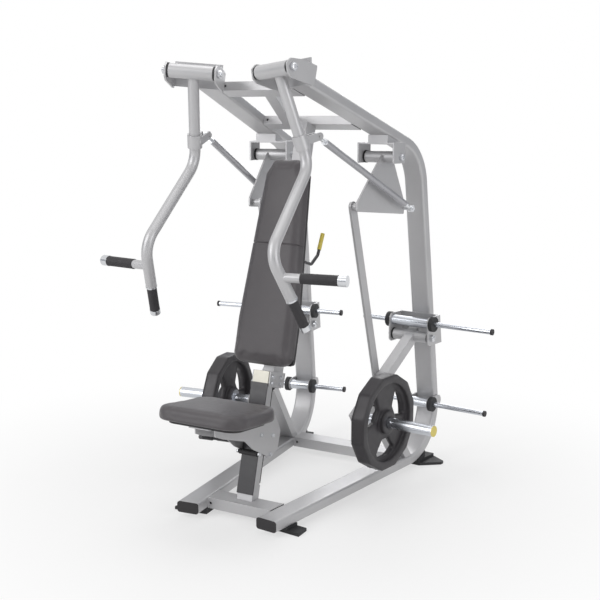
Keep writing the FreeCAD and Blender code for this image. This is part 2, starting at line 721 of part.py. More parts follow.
def pivots():
    """Shafts and seals of the press arms, bell cranks and weight levers."""
    places = (
        ("press", PRESS, (0, 0, 0), "ear_half", "pivot_half"),
        ("bell", SIDE, (S.bell_s, S.bell_z, S.bell_d), "bell_ear_half", "bell_half"),
        ("lever", SIDE, (S.lever_s, S.lever_z, 0), "ear_half", "pivot_half"),
    )
    bolts, rings = [], []
    for name, base, centre, ear, tube in places:
        bolts.append(pivot_bolt(f"{name}_bolt", base, centre, ear))
        rings.extend(seals(f"{name}_seal", base, centre, ear, tube))
    pair("pivot_bolts", *bolts)
    pair("pivot_seals", *rings)


def storage():
    """Storage pegs with their sleeves, rubber bumpers and end caps."""
    pegs, sleeves, bumpers, caps = [], [], [], []
    rows = (
        ("upper", S.store_s, S.store_z, "store_out", "store_in", "ear_half", S.plate),
        ("lower", S.low_store_s, S.low_store_z, "low_store_out", "low_store_in", "tube_wide / 2", S.plate),
    )
    for name, s, z, out, inside, half, cheek in rows:
        outer, inner = getattr(S, out), getattr(S, inside)
        half_size = S.ear_half if name == "upper" else S.tube_wide / 2
        pegs.append(rod(f"{name}_peg", "peg", f"{out} - {inside}", at(SIDE, s, z, inner)))
        tube = rod(f"{name}_sleeve", "sleeve", f"2 * {half}", at(SIDE, s, z, -half_size))
        bore = rod(f"{name}_sleeve_bore", "peg", f"2 * {half}", at(SIDE, s, z, -half_size))
        sleeves.append(cut(f"{name}_sleeve_tube", tube, bore))
        for end, place in (("out", half_size + cheek), ("in", -half_size - cheek - S.bumper_thick)):
            disc = rod(f"{name}_bumper_{end}", "bumper_radius", "bumper_thick", at(SIDE, s, z, place))
            hole = rod(f"{name}_bumper_{end}_bore", "peg", "bumper_thick", at(SIDE, s, z, place))
            bumpers.append(cut(f"{name}_bumper_{end}_ring", disc, hole))
        for end, place in (("out", outer), ("in", inner - S.peg_cap_long)):
            caps.append(rod(f"{name}_cap_{end}", "peg_cap", "peg_cap_long", at(SIDE, s, z, place)))
    pair("storage_pegs", *pegs)
    pair("storage_sleeves", *sleeves)
    pair("storage_bumpers", *bumpers)
    pair("storage_peg_caps", *caps)


# ---------------------------------------------------------------- press arms

ARM_POINTS = [(20.0, 0.0, 0.0), (151.5, -385.0, 3.0), (-165.0, -724.5, 107.0), (6.0, -1046.0, 99.0)]
HANDLE_AXIS = Vector(0.462, -0.074, 0.884).normalize()
HANDLE_PLACE = 0.297


def run_point(start, end, share):
    """A point part of the way from one point to another."""
    return start + (end - start) * share


def press_arms():
    """The bent arm with its pivot tube, grips, caps and clamp collar."""
    bends = [Vector(*point) for point in ARM_POINTS]
    down = (bends[3] - bends[2]).normalize()
    tube_end = bends[3] - down * (S.low_grip_long + S.grip_cap_long)
    outer = bent_bar("arm_outer", [*ARM_POINTS[:3], tuple(tube_end)], S.arm_bend, S.arm_radius, PRESS)
    core = rod_between("grip_core_low", "grip_core", tube_end - down, bends[3] - down * S.grip_cap_long)
    core.Placement = PRESS.multiply(core.Placement)
    hub = run_point(bends[2], bends[3], HANDLE_PLACE)
    neck = rod("handle_neck", "neck_radius", "neck_long", place_along(hub, HANDLE_AXIS))
    cross_core = rod(
        "handle_core", "grip_core", "neck_long + cross_grip_long", place_along(hub, HANDLE_AXIS)
    )
    tube = rod("press_tube_outer", "press_tube", "2 * pivot_half", at(PRESS, 0, 0, -S.pivot_half))
    bore = rod("press_tube_bore", "shaft + fit", "2 * pivot_half", at(PRESS, 0, 0, -S.pivot_half))
    welded = fuse("press_arm_welded", tube, outer, core, neck, cross_core)
    both("press_arm", cut("press_arm", welded, bore))
    hand_grips(hub, tube_end, down)
    clamp_collar(bends)


def place_along(point, direction):
    """A place in the press frame whose z runs along a direction."""
    return PRESS.multiply(Placement(point, Rotation(Z, direction)))


def tube_piece(name, outer, inner, long, place):
    """A short tube."""
    return cut(name, rod(f"{name}_outer", outer, long, place), rod(f"{name}_bore", inner, long, place))


def hand_grips(hub, tube_end, down):
    """Rubber grips on the lower end of the arm and on the cross handle, with metal ends."""
    low_start = tube_end + down * S.ring_long
    low = tube_piece("grip_low", "grip_radius", "grip_core", "low_grip_long - ring_long",
                     place_along(low_start, down))
    cross_start = hub + HANDLE_AXIS * S.neck_long
    cross = tube_piece("grip_cross", "grip_radius", "grip_core", "cross_grip_long",
                       place_along(cross_start, HANDLE_AXIS))
    both("hand_grips", group("hand_grips", low, cross))
    ring = tube_piece("grip_ring", "arm_radius + 1", "grip_core", "ring_long",
                      place_along(tube_end, down))
    low_cap = rod("grip_cap_low", "grip_cap", "grip_cap_long",
                  place_along(tube_end + down * S.low_grip_long, down))
    cross_cap = rod("grip_cap_cross", "grip_cap", "cross_cap_long",
                    place_along(cross_start + HANDLE_AXIS * S.cross_grip_long, HANDLE_AXIS))
    both("grip_end_caps", group("grip_end_caps", ring, low_cap, cross_cap))


def clamp_collar(bends):
    """The collar on the upper run of the arm and its two lugs for the tie rod pin."""
    along = (bends[1] - bends[0]).normalize()
    start = bends[0] + along * S.collar_along
    ring = rod("collar_outer", "collar_radius", "collar_long", place_along(start, along))
    bore = rod("collar_bore", "arm_radius", "collar_long", place_along(start, along))
    middle = start + along * (S.collar_long / 2)
    centre = PIN.inverse().multVec(PRESS.multVec(middle))
    outline = obround((centre.x, centre.y), (0, 0), S.eye_radius)
    lugs = []
    for name, place in (("outer", S.lug_gap), ("inner", -S.lug_gap - S.plate)):
        lugs.append(slab(f"collar_lug_{name}", outline, "plate", at(PIN, 0, 0, place), [(0, 0, "pin")]))
    collar = cut("arm_clamp", fuse("arm_clamp", ring, *lugs), bore)
    reach = S.lug_gap + S.plate
    shank = rod_span("clamp_pin_shank", "pin", PIN, 0, 0, -reach, reach)
    head = rod_span("clamp_pin_head", "bolt_head", PIN, 0, 0, reach, reach + S.bolt_head_thick)
    nut = rod_span("clamp_pin_nut", "bolt_head", PIN, 0, 0, -reach - S.bolt_head_thick, -reach)
    bolt = fuse("tie_rod_front_bolt", shank, head, nut)
    both("arm_clamp_collar", group("arm_clamp_group", collar, bolt))


# ---------------------------------------------------------------- linkage

def tie_rods():
    """The rod from the clamp collar to the bell crank, with an eye at each end."""
    front = PIN.Base
    rear = SIDE.multVec(Vector(S.rod_rear_s, S.rod_rear_z, S.rod_rear_d))
    along = (rear - front).normalize()
    front_eye = rod("front_eye", "eye_radius", "2 * eye_half", at(PIN, 0, 0, -S.eye_half))
    front_bore = rod("front_eye_bore", "pin + fit", "2 * eye_half", at(PIN, 0, 0, -S.eye_half))
    sleeve_start, sleeve_end = front + along * S.rod_end_long, rear - along * S.rod_end_long
    front_shank = rod_between("front_shank", "shank", front + along * S.eye_radius * 0.7, sleeve_start)
    rear_shank = rod_between("rear_shank", "shank", sleeve_end, rear - along * S.eye_radius * 0.7)
    sleeve = rod_between("rod_sleeve", "rod_radius", sleeve_start, sleeve_end)
    pin = (SIDE, S.rod_rear_s, S.rod_rear_z)
    inner, outer = S.rod_rear_d - S.eye_half, S.rod_rear_d + S.eye_half
    rear_eye = rod_span("rear_eye", "eye_radius", *pin, inner, outer)
    # the rear bolt stays with the rod and stops short of the bell crank plate
    spacer = rod_span("rear_spacer", "bolt_head", *pin, S.crank_face + S.open_gap, inner)
    head = rod_span("rear_bolt_head", "bolt_head", *pin, outer, outer + S.bolt_head_thick)
    front_half = cut("tie_rod_front", fuse("tie_rod_front", front_eye, front_shank, sleeve), front_bore)
    rear_half = fuse("tie_rod_rear", rear_shank, fuse("tie_rod_rear_eye", rear_eye, head, spacer))
    both("tie_rod", fuse("tie_rod_whole", front_half, rear_half))


def bell_cranks():
    """The triangular plate welded to its pivot tube, and the pin that holds the lift link."""
    outline = [
        (S.bell_s - 79, S.bell_z - 34), (S.link_top_s - 35, S.link_top_z + 21),
        (S.link_top_s - 35, S.link_top_z - 19), (S.rod_rear_s + 3, S.rod_rear_z - 29),
        (S.rod_rear_s + 1, S.rod_rear_z + 39), (S.bell_s + 78, S.bell_z - 40),
        (S.bell_s + 27, S.bell_z + 10), (S.bell_s - 27, S.bell_z + 10),
    ]
    inner_face = S.crank_face - S.plate
    web = slab("bell_plate", outline, "plate", at(SIDE, 0, 0, inner_face), corner=8.0)
    pivot = (SIDE, S.bell_s, S.bell_z, S.bell_d - S.bell_half, S.bell_d + S.bell_half)
    tube = rod_span("bell_tube", "pivot_tube", *pivot)
    bore = rod_span("bell_bore", "shaft + fit", *pivot)
    crank = cut("bell_crank", fuse("bell_crank_welded", web, tube), bore)
    # the link pin stands on the plate, with a spacer bush, and ends in a head inside the link
    pin = (SIDE, S.link_top_s, S.link_top_z)
    bar_face = S.link_d + S.link_thick + S.gap
    head_face = S.link_d - S.gap
    bush = rod_span("link_pin_bush", "bush_radius", *pin, bar_face, inner_face)
    shank = rod_span("link_pin_shank", "pin", *pin, head_face, bar_face)
    head = rod_span("link_pin_head", "bolt_head", *pin, head_face - S.bolt_head_thick, head_face)
    both("bell_crank", group("bell_crank_group", crank, fuse("link_pin", bush, shank, head)))


def lift_links():
    """The flat bar from the bell crank to the weight lever, with its lower bolt."""
    outline = obround((S.link_low_s, S.link_low_z), (S.link_top_s, S.link_top_z), S.link_half)
    bar = slab("link_bar", outline, "link_thick", at(SIDE, 0, 0, S.link_d),
               [(S.link_top_s, S.link_top_z, "pin + fit")])
    pin = (SIDE, S.link_low_s, S.link_low_z)
    # the lower bush stays with the bar and stops short of the weight lever
    bush = rod_span(
        "link_low_bush", "bush_radius", *pin, S.link_d + S.link_thick, -S.lever_tube / 2 - S.open_gap
    )
    head = rod_span("link_low_head", "bolt_head", *pin, S.link_d - S.bolt_head_thick, S.link_d)
    both("lift_link", fuse("lift_link", bar, bush, head))


def weight_levers():
    """The square lever tube with its pivot tube, horn, end cap and weight plate."""
    rise = math.atan2(S.horn_z - S.lever_z, S.horn_s - S.lever_s)
    length = math.hypot(S.horn_s - S.lever_s, S.horn_z - S.lever_z)
    along = at(SIDE, S.lever_s, S.lever_z, 0, Rotation(Z, math.degrees(rise)))
    side = S.lever_tube / 2
    bar = box("lever_bar_outer", length + S.lever_behind + S.lever_beyond, "lever_tube", "lever_tube",
              at(along, -S.lever_behind, -side, -side))
    hollow = box("lever_bar_inner", length - 2 * S.lever_tube, "lever_tube - 2 * wall",
                 "lever_tube - 2 * wall", at(along, S.lever_tube, S.wall - side, S.wall - side))
    tube = rod("lever_tube_outer", "pivot_tube", "2 * pivot_half",
               at(SIDE, S.lever_s, S.lever_z, -S.pivot_half))
    bore = rod("lever_tube_bore", "shaft + fit", "2 * pivot_half",
               at(SIDE, S.lever_s, S.lever_z, -S.pivot_half))
    both("weight_lever", cut("weight_lever", fuse("lever_welded", bar, tube), hollow, bore))
    step = S.plate_back + S.disc_thick + 1
    root = rod("horn_root", "horn_radius - horn_relief", step - side, at(SIDE, S.horn_s, S.horn_z, side))
    horn = rod("horn_bar", "horn_radius", S.horn_tip - step, at(SIDE, S.horn_s, S.horn_z, step))
    flange = rod("horn_flange", "flange_radius", "plate", at(SIDE, S.horn_s, S.horn_z, S.plate_back - S.plate))
    both("weight_horn", fuse("weight_horn", root, horn, flange))
    both("horn_end_cap", rod("horn_cap", "horn_radius", "horn_cap_long",
                             at(SIDE, S.horn_s, S.horn_z, S.horn_tip)))
    weight_plate()


def weight_plate():
    """A twelve sided plate with three grip windows, recessed on both faces."""
    sides = 12
    outline = [
        Vector(S.disc_radius * math.cos(math.pi * (2 * n + 1) / sides),
               S.disc_radius * math.sin(math.pi * (2 * n + 1) / sides), 0)
        for n in range(sides)
    ]
    body, sketch = body_with_sketch("disc", "XY_Plane", rounded(outline, 30.0),
                                    [(0, 0, "horn_radius + 1")])
    pad = body.newObject("PartDesign::Pad", "disc_pad")
    pad.Profile = sketch
    pad.setExpression("Length", link("disc_thick"))
    depth = (S.disc_thick - S.disc_web) / 2
    rim = S.disc_radius * math.cos(math.pi / sides) - S.disc_rim
    for name, z, turn in (("back", 0.0, True), ("front", S.disc_thick, False)):
        recess = body.newObject("Sketcher::SketchObject", f"disc_{name}_sketch")
        support = [item for item in body.Origin.OriginFeatures if item.Role == "XY_Plane"][0]
        recess.AttachmentSupport = [(support, "")]
        recess.MapMode = "FlatFace"
        recess.AttachmentOffset = Placement(Vector(0, 0, z), Rotation())
        for radius in (rim, S.disc_hub):
            recess.addGeometry(Part.Circle(Vector(), Z, radius), False)
        pocket = body.newObject("PartDesign::Pocket", f"disc_{name}_recess")
        pocket.Profile = recess
        pocket.Length = depth
        pocket.Reversed = turn
    window = body.newObject("Sketcher::SketchObject", "disc_window_sketch")
    window.AttachmentSupport = [(support, "")]
    window.MapMode = "FlatFace"
    middle = (rim + S.disc_hub) / 2 + 6
    for edge in rounded(window_outline(middle), 14.0):
        window.addGeometry(edge, False)
    opening = body.newObject("PartDesign::Pocket", "disc_window")
    opening.Profile = window
    opening.Type = "ThroughAll"
    opening.Midplane = True
    turned = body.newObject("PartDesign::PolarPattern", "disc_windows")
    turned.Originals = [opening]
    turned.Axis = ([item for item in body.Origin.OriginFeatures if item.Role == "Z_Axis"][0], [""])
    turned.Angle = 360
    turned.Occurrences = 3
    body.Tip = turned
    body.Placement = at(SIDE, S.horn_s, S.horn_z, S.plate_back)
    both("weight_plate", body)


def window_outline(middle):
    """Outline of one grip window: a rounded wedge across the web."""
    half_deep = 42.0
    points = []
    for radius, angles in ((middle + half_deep, (-30, -10, 10, 30)), (middle - half_deep, (20, -20))):
        for angle in angles:
            turn = math.radians(angle - 90)
            points.append(Vector(radius * math.cos(turn), radius * math.sin(turn), 0))
    return points


def lever_stops():
    """A leaning post on each base rail with a rubber block under the resting weight lever."""
    rise = math.atan2(S.lever_z - S.horn_z, S.lever_s - S.horn_s)
    below = Vector(math.sin(rise), -math.cos(rise), 0)
    forward = Vector(-math.cos(math.radians(52.5)), math.sin(math.radians(52.5)), 0)
    square = Vector(forward.y, -forward.x, 0)
    pivot = Vector(S.lever_s, S.lever_z, 0)
    foot = Vector(S.stop_foot_s, FOOT_Z, 0)
    under = S.lever_tube / 2 + S.gap + S.stop_rubber

    def top_of(start):
        """Where a line up from the rail meets the underside of the rubber."""
        share = (under - (start - pivot).dot(below)) / forward.dot(below)
        return start + forward * share

    def foot_of(offset):
        """Where one face of the post meets the rail."""
        return foot + Vector(offset / abs(square.x) if square.x else offset, 0, 0)

    outlines = []
    for inset in (0.0, S.wall):
        front = foot_of(-S.stop_deep / 2 + inset)
        rear = foot_of(S.stop_deep / 2 - inset)
        outlines.append([front, rear, top_of(rear), top_of(front)])
    outer = slab("stop_outer", [(p.x, p.y) for p in outlines[0]], "stop_wide",
                 at(SIDE, 0, 0, -S.stop_wide / 2))
    inner = slab("stop_inner", [(p.x, p.y) for p in outlines[1]], "stop_wide - 2 * wall",
                 at(SIDE, 0, 0, S.wall - S.stop_wide / 2))
    pair("lever_stop_posts", cut("stop_post", outer, inner))
    top = (outlines[0][2] + outlines[0][3]) / 2
    base = at(SIDE, top.x, top.y, 0, Rotation(Z, math.degrees(rise)))
    rubber = box("stop_rubber_block", "lever_tube", "stop_rubber", "lever_tube",
                 at(base, -S.lever_tube / 2, 0, -S.lever_tube / 2))
    pair("lever_stop_rubbers", rubber)


# ---------------------------------------------------------------- seat column and back post

def column():
    """The leaning seat column: tube, front cover, rear guide and saddle at its foot."""
    floor_cut = box("column_floor", "low_corner_s", "low_corner_s", "low_corner_s",
                    Placement(world(-S.low_corner_s / 2, -S.low_corner_s / 2, FOOT_Z), Rotation()))
    reach = 60.0
    front = S.cover_thick
    tube = box("column_outer", "column_wide", "column_deep", S.column_long + reach,
               at(COLUMN, -S.column_wide / 2, front, -reach))
    bore = box("column_inner", "column_wide - 2 * wall", "column_deep - 2 * wall",
               S.column_long + reach - S.wall,
               at(COLUMN, S.wall - S.column_wide / 2, front + S.wall, -reach))
    node("seat_column", common("column_trim", cut("column_tube", tube, bore), floor_cut))
    cover = box("cover_strip", "column_wide + 5", "cover_thick", "cover_long",
                at(COLUMN, -S.column_wide / 2 - 2.5, 0, 30))
    node("column_front_cover", cover)
    guide = box("guide_strip", "guide_wide", "guide_deep", "cover_long - 75",
                at(COLUMN, -S.guide_wide / 2, front + S.column_deep, 80))
    node("column_rear_guide", guide)
    behind = front + S.column_deep
    saddle = box("saddle_block", "column_wide", "plate", "saddle_high + 60",
                 at(COLUMN, -S.column_wide / 2, behind, -reach))
    return common("saddle_trim", saddle, floor_cut)


def post(saddle):
    """The back post up to the middle top crossmember, and the plates that join it to the column."""
    ceiling = box("post_ceiling", "low_corner_s", "low_corner_s", "low_corner_s",
                  at(TOP, -S.low_corner_s / 2, -S.low_corner_s / 2 + MID_BEAM, -S.low_corner_s))
    tube = box("post_outer", "post_wide", "post_deep", "low_corner_s",
               at(COLUMN, -S.post_wide / 2, S.post_front, POST_FOOT))
    bore = box("post_inner", "post_wide - 2 * wall", "post_deep - 2 * wall", "low_corner_s",
               at(COLUMN, S.wall - S.post_wide / 2, S.post_front + S.wall, POST_FOOT))
    node("back_post", common("post_trim", cut("post_tube", tube, bore), ceiling))
    # two cheek plates join the post to the top of the column
    spacer_wide = (S.column_wide - S.post_wide) / 2
    cheeks, bolts = [saddle], []
    low = POST_FOOT + 4
    for sign, name in ((1, "right"), (-1, "left")):
        inner = sign * S.column_wide / 2
        cheek = box(f"cheek_{name}", "carriage_plate", "post_front + post_deep - 20",
                    "post_overlap - 4",
                    at(COLUMN, min(inner, inner + sign * S.carriage_plate), 10, low))
        filler = box(f"cheek_filler_{name}", "(column_wide - post_wide) / 2", "post_deep - 20",
                     "post_overlap - 4",
                     at(COLUMN, min(inner, inner - sign * spacer_wide), S.post_front + 4, low))
        cheeks.append(fuse(f"cheek_whole_{name}", cheek, filler))
        outer = inner + sign * S.carriage_plate
        turn = Rotation(Y, 90 * sign)
        for y, up in ((28, 20), (28, 50), (100, 20), (100, 50)):
            bolts.append(rod(f"cheek_bolt_{name}_{y}_{up}", "bolt_head", "bolt_head_thick",
                             at(COLUMN, outer, y, POST_FOOT + up, turn)))
    holder = box("release_holder", "plate", "holder_long", "holder_long",
                 at(COLUMN, S.post_wide / 2, S.post_front + 20, POST_FOOT + S.holder_up))
    node("column_bracket_plates", group("cheeks", *cheeks, holder))
    node("column_bracket_bolts", group("cheek_bolts", *bolts))


def back_pad():
    """The back pad, the board behind it and the blocks that hold it on the post."""
    shoulder = PAD_LOW + S.pad_straight
    top = PAD_LOW + S.pad_long

    def outline(inset):
        half, tip = S.pad_half_low - inset, S.pad_half_top - inset
        return [
            (-half + 20, PAD_LOW + inset), (half - 20, PAD_LOW + inset), (half, PAD_LOW + 20),
            (half, shoulder), (tip, top - 70), (tip - 40, top - inset), (-tip + 40, top - inset),
            (-tip, top - 70), (-half, shoulder), (-half, PAD_LOW + 20),
        ]

    upright = Rotation(X, 90)
    cushion = slab("back_cushion", outline(0), "pad_thick",
                   at(COLUMN, 0, S.pad_front + S.pad_thick, 0, upright), corner=10.0)
    node("back_pad", cushion)
    back = S.pad_front + S.pad_thick + S.board_thick
    board = slab("back_board", outline(12.0), "board_thick - gap",
                 at(COLUMN, 0, back, 0, upright), corner=10.0)
    node("back_pad_board", board)
    blocks = []
    for number, up in enumerate((60, 420, 800)):
        blocks.append(box(f"pad_block_{number}", "post_wide + 40", "post_front - pad_front", "pad_block",
                          at(COLUMN, -S.post_wide / 2 - 20, back, PAD_LOW + up)))
        blocks[-1].setExpression(
            "Width", link("post_front - pad_front - pad_thick - board_thick"))
    node("back_pad_brackets", group("pad_blocks", *blocks))


# ---------------------------------------------------------------- seat

def seat():
    """The seat pad and board on a carriage that slides on the column."""
    flat = Placement(world(0, S.seat_y, S.seat_z), Rotation(X, -S.seat_fall))
    half_wide, half_deep = S.seat_wide / 2, S.seat_deep / 2
    outline = [(-half_wide, -half_deep), (half_wide, -half_deep),
               (half_wide - 12, half_deep), (-half_wide + 12, half_deep)]
    cushion = slab("seat_cushion", outline, "seat_thick", at(flat, 0, 0, -S.seat_thick),
                   corner=S.seat_corner)
    node("seat_pad", cushion)
    inset = S.board_inset
    board_outline = [(-half_wide + inset, -half_deep + inset), (half_wide - inset, -half_deep + inset),
                     (half_wide - inset - 10, half_deep - inset), (-half_wide + inset + 10, half_deep - inset)]
    under = -S.seat_thick - S.seat_board
    board = slab("seat_board_slab", board_outline, "seat_board - gap", at(flat, 0, 0, under),
                 corner=S.seat_corner - inset)
    node("seat_board", board)
    carriage(flat, under)


CARRIAGE_OUTLINE = [(-150, 500), (140, 500), (330, 430), (372, 346), (345, 268), (283, 243), (141, 320),
                    (77, 374), (-91, 430), (-150, 455)]


def carriage(flat, under):
    """Two side plates joined under the seat, with rollers in front of and behind the column."""
    turn = Rotation(Y, Z, X, "XYZ")
    ceiling = box("seat_ceiling", "low_corner_s", "low_corner_s", "low_corner_s",
                  at(flat, -S.low_corner_s / 2, -S.low_corner_s / 2, under - S.low_corner_s))
    plates = []
    for sign in (1, -1):
        inner = sign * (S.carriage_half - S.carriage_plate / 2) - S.carriage_plate / 2
        plates.append(slab(f"carriage_side_{sign + 1}", CARRIAGE_OUTLINE, "carriage_plate",
                           Placement(world(inner, 0, 0), turn), corner=8.0))
    top = box("carriage_top", "2 * carriage_half", "seat_deep * 0.7", "carriage_plate",
              at(flat, -S.carriage_half, -S.seat_deep * 0.36, under - S.carriage_plate))
    node("seat_carriage", common("carriage_trim", fuse("carriage_welded", *plates, top), ceiling))
    rollers, bolts = [], []
    roller_long = 2 * S.carriage_half - 2 * S.carriage_plate
    behind = S.cover_thick + S.column_deep + S.guide_deep + S.gap + S.roller
    ahead = -S.gap - S.roller
    for name, y, up in (("front_low", ahead, 215), ("front_high", ahead, 300),
                        ("rear_low", behind, 215), ("rear_high", behind, 300)):
        obj = rod(f"roller_{name}", "roller", "2 * carriage_half - 2 * carriage_plate",
                  at(COLUMN, -roller_long / 2, y, up, Rotation(Y, 90)))
        rollers.append(obj)
        for sign in (1, -1):
            bolts.append(rod(f"roller_bolt_{name}_{sign + 1}", "bolt_head", "bolt_head_thick",
                             at(COLUMN, sign * S.carriage_half, y, up, Rotation(Y, 90 * sign))))
    node("carriage_rollers", group("rollers", *rollers))
    node("carriage_bolts", group("carriage_bolt_heads", *bolts))
    seat_lever()


def seat_lever():
    """The black hand lever under the left of the seat that frees the carriage."""
    outer = S.carriage_half + S.gap
    boss = rod("seat_lever_boss", "lever_boss", "boss_long",
               Placement(world(-outer - S.boss_long, 150, 340), Rotation(Y, 90)))
    start = world(-outer - S.boss_long / 2, 150, 340)
    bend = start + Vector(-35, -40, 12)
    end = bend + Vector(-8, -150, 53)
    bar = bent_bar("seat_lever_bar", [start, bend, end], 20.0, S.lever_rod)
    pad = rod_between("seat_lever_grip", "bolt_head + 1", run_point(bend, end, 0.45), end)
    node("seat_adjust_lever", fuse("seat_lever", boss, bar, pad))


# rearward and up from the pivot of the release lever
RELEASE_RUN = [(0, 0), (107, -32), (170, 4), (213, 90)]


def release_lever():
    """The bent release lever on the right of the back post, with its yellow grip."""
    middle = S.holder_long / 2
    pivot = COLUMN.multVec(Vector(S.post_wide / 2 + S.plate + S.gap, S.post_front + 20 + middle,
                                  POST_FOOT + S.holder_up + middle))
    points = [pivot] + [pivot + Vector(S.release_out, rear, up) for rear, up in RELEASE_RUN]
    bar = bent_bar("release_bar", points, 18.0, S.yellow_rod)
    node("release_lever", bar)
    heading = (points[-1] - points[-2]).normalize()
    start = run_point(points[-2], points[-1], 0.28)
    grip = rod_between("release_grip_outer", "yellow_grip", start, points[-1] + heading * 12)
    hole = rod_between("release_grip_bore", "yellow_rod", start, points[-1])
    node("release_lever_grip", cut("release_grip", grip, hole))


side_frames()
crossmembers()
feet_and_plugs()
press_brackets()
bell_brackets()
lever_brackets()
low_storage_brackets()
pivots()
storage()
press_arms()
tie_rods()
bell_cranks()
lift_links()
weight_levers()
lever_stops()
post(column())
back_pad()
seat()
release_lever()
doc.recompute()

failed = [obj.Name for obj in doc.Objects if "Invalid" in obj.State or "Error" in obj.State]
if failed:
    raise RuntimeError(f"features failed: {failed}")
for name, obj in NODES.items():
    if obj.Shape.isNull() or not obj.Shape.isValid():
        raise RuntimeError(f"{name}: bad shape")

os.makedirs("parts", exist_ok=True)
for name, obj in NODES.items():
    obj.Shape.exportStep(f"parts/{name}.step")
whole = Part.makeCompound([obj.Shape for obj in NODES.values()]).BoundBox
print(len(NODES), "nodes, box", whole)
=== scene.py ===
import bpy
import bmesh
import json
import math
import numpy as np
from mathutils import Matrix, Vector, noise

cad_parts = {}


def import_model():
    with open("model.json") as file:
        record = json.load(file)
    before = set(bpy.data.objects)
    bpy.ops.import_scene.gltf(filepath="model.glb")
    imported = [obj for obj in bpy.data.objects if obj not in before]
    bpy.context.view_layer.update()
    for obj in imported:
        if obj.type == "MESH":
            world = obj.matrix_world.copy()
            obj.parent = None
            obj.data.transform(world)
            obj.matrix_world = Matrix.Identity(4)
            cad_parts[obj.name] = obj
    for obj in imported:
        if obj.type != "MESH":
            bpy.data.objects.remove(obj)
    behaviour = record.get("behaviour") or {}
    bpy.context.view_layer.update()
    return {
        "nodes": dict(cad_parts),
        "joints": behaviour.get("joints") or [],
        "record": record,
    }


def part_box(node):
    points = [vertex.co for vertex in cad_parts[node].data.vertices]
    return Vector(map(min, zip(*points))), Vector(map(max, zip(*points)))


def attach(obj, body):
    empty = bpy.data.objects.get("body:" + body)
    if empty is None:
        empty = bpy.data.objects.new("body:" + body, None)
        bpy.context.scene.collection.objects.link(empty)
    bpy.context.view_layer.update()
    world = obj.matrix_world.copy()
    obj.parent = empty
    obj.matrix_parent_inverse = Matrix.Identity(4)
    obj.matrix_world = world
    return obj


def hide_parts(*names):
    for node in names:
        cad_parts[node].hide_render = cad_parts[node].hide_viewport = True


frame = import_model()
NODES = frame["nodes"]
SLOT = {row["node"]: row["material_slot"] for row in frame["record"]["subparts"]}
BACK_LEAN, SEAT_TILT = 15.3, 6.0  # degrees toward the rear
SEAM_UP = 1.114  # the sewn joint of the back pad, along the lean
FRAME_TOE = 0.117  # turn of each side frame's inner face toward the front, per unit across
scene = bpy.context.scene


# ---------------------------------------------------------------- camera, light, floor

def camera():
    data = bpy.data.cameras.new("camera")
    data.lens, data.sensor_width = 63.54, 36.0
    cam = bpy.data.objects.new("camera", data)
    cam.location = (2.450, -4.194, 1.770)
    cam.rotation_euler = (math.radians(90 - 9.962), 0, math.radians(29.873))
    scene.collection.objects.link(cam)
    scene.camera = cam


def softbox(name, place, aim, size, power):
    data = bpy.data.lights.new(name, "AREA")
    data.shape, data.size, data.energy = "SQUARE", size, power
    lamp = bpy.data.objects.new(name, data)
    lamp.location = place
    lamp.rotation_euler = (Vector(aim) - Vector(place)).to_track_quat("-Z", "Y").to_euler()
    scene.collection.objects.link(lamp)


def seen_directly(tree):
    """1 for rays that show a background: from the camera, or off or through a surface."""
    path = tree.nodes.new("ShaderNodeLightPath")
    total = path.outputs["Is Camera Ray"]
    for ray in ("Is Glossy Ray", "Is Transmission Ray"):
        add = tree.nodes.new("ShaderNodeMath")
        add.operation, add.use_clamp = "ADD", True
        tree.links.new(total, add.inputs[0])
        tree.links.new(path.outputs[ray], add.inputs[1])
        total = add.outputs[0]
    return total


def world():
    made = bpy.data.worlds.new("studio")
    scene.world = made
    made.use_nodes = True
    tree = made.node_tree
    ground = tree.nodes["Background"]
    ground.inputs["Color"].default_value = (1, 1, 1, 1)
    level = tree.nodes.new("ShaderNodeMapRange")
    level.inputs["To Min"].default_value = 0.30
    level.inputs["To Max"].default_value = 1.0
    tree.links.new(seen_directly(tree), level.inputs["Value"])
    tree.links.new(level.outputs["Result"], ground.inputs["Strength"])


def floor():
    """A pale floor that keeps the shadow near the machine and fades to white far from it."""
    bpy.ops.mesh.primitive_plane_add(size=60)
    plane = bpy.context.object
    plane.name = "floor"
    mat = bpy.data.materials.new("floor")
    mat.use_nodes = True
    mat.cycles.emission_sampling = "NONE"  # it shows white but is no lamp
    tree = mat.node_tree
    bsdf, out = tree.nodes["Principled BSDF"], tree.nodes["Material Output"]
    bsdf.inputs["Base Color"].default_value = (0.90, 0.90, 0.90, 1)
    bsdf.inputs["Roughness"].default_value = 0.85
    bsdf.inputs["Specular IOR Level"].default_value = 0.1
    white = tree.nodes.new("ShaderNodeEmission")
    white.inputs["Strength"].default_value = 1.0
    coord = tree.nodes.new("ShaderNodeTexCoord")
    length = tree.nodes.new("ShaderNodeVectorMath")
    length.operation = "LENGTH"
    fade = tree.nodes.new("ShaderNodeMapRange")
    fade.interpolation_type = "SMOOTHSTEP"
    fade.inputs["From Min"].default_value = 0.3
    fade.inputs["From Max"].default_value = 2.4
    fade.inputs["To Min"].default_value = 0.55
    both = tree.nodes.new("ShaderNodeMath")
    both.operation = "MULTIPLY"
    mix = tree.nodes.new("ShaderNodeMixShader")
    link = tree.links.new
    link(coord.outputs["Object"], length.inputs[0])
    link(length.outputs["Value"], fade.inputs["Value"])
    link(fade.outputs["Result"], both.inputs[0])
    link(seen_directly(tree), both.inputs[1])
    link(both.outputs[0], mix.inputs[0])
    link(bsdf.outputs[0], mix.inputs[1])
    link(white.outputs[0], mix.inputs[2])
    link(mix.outputs[0], out.inputs["Surface"])
    plane.data.materials.append(mat)


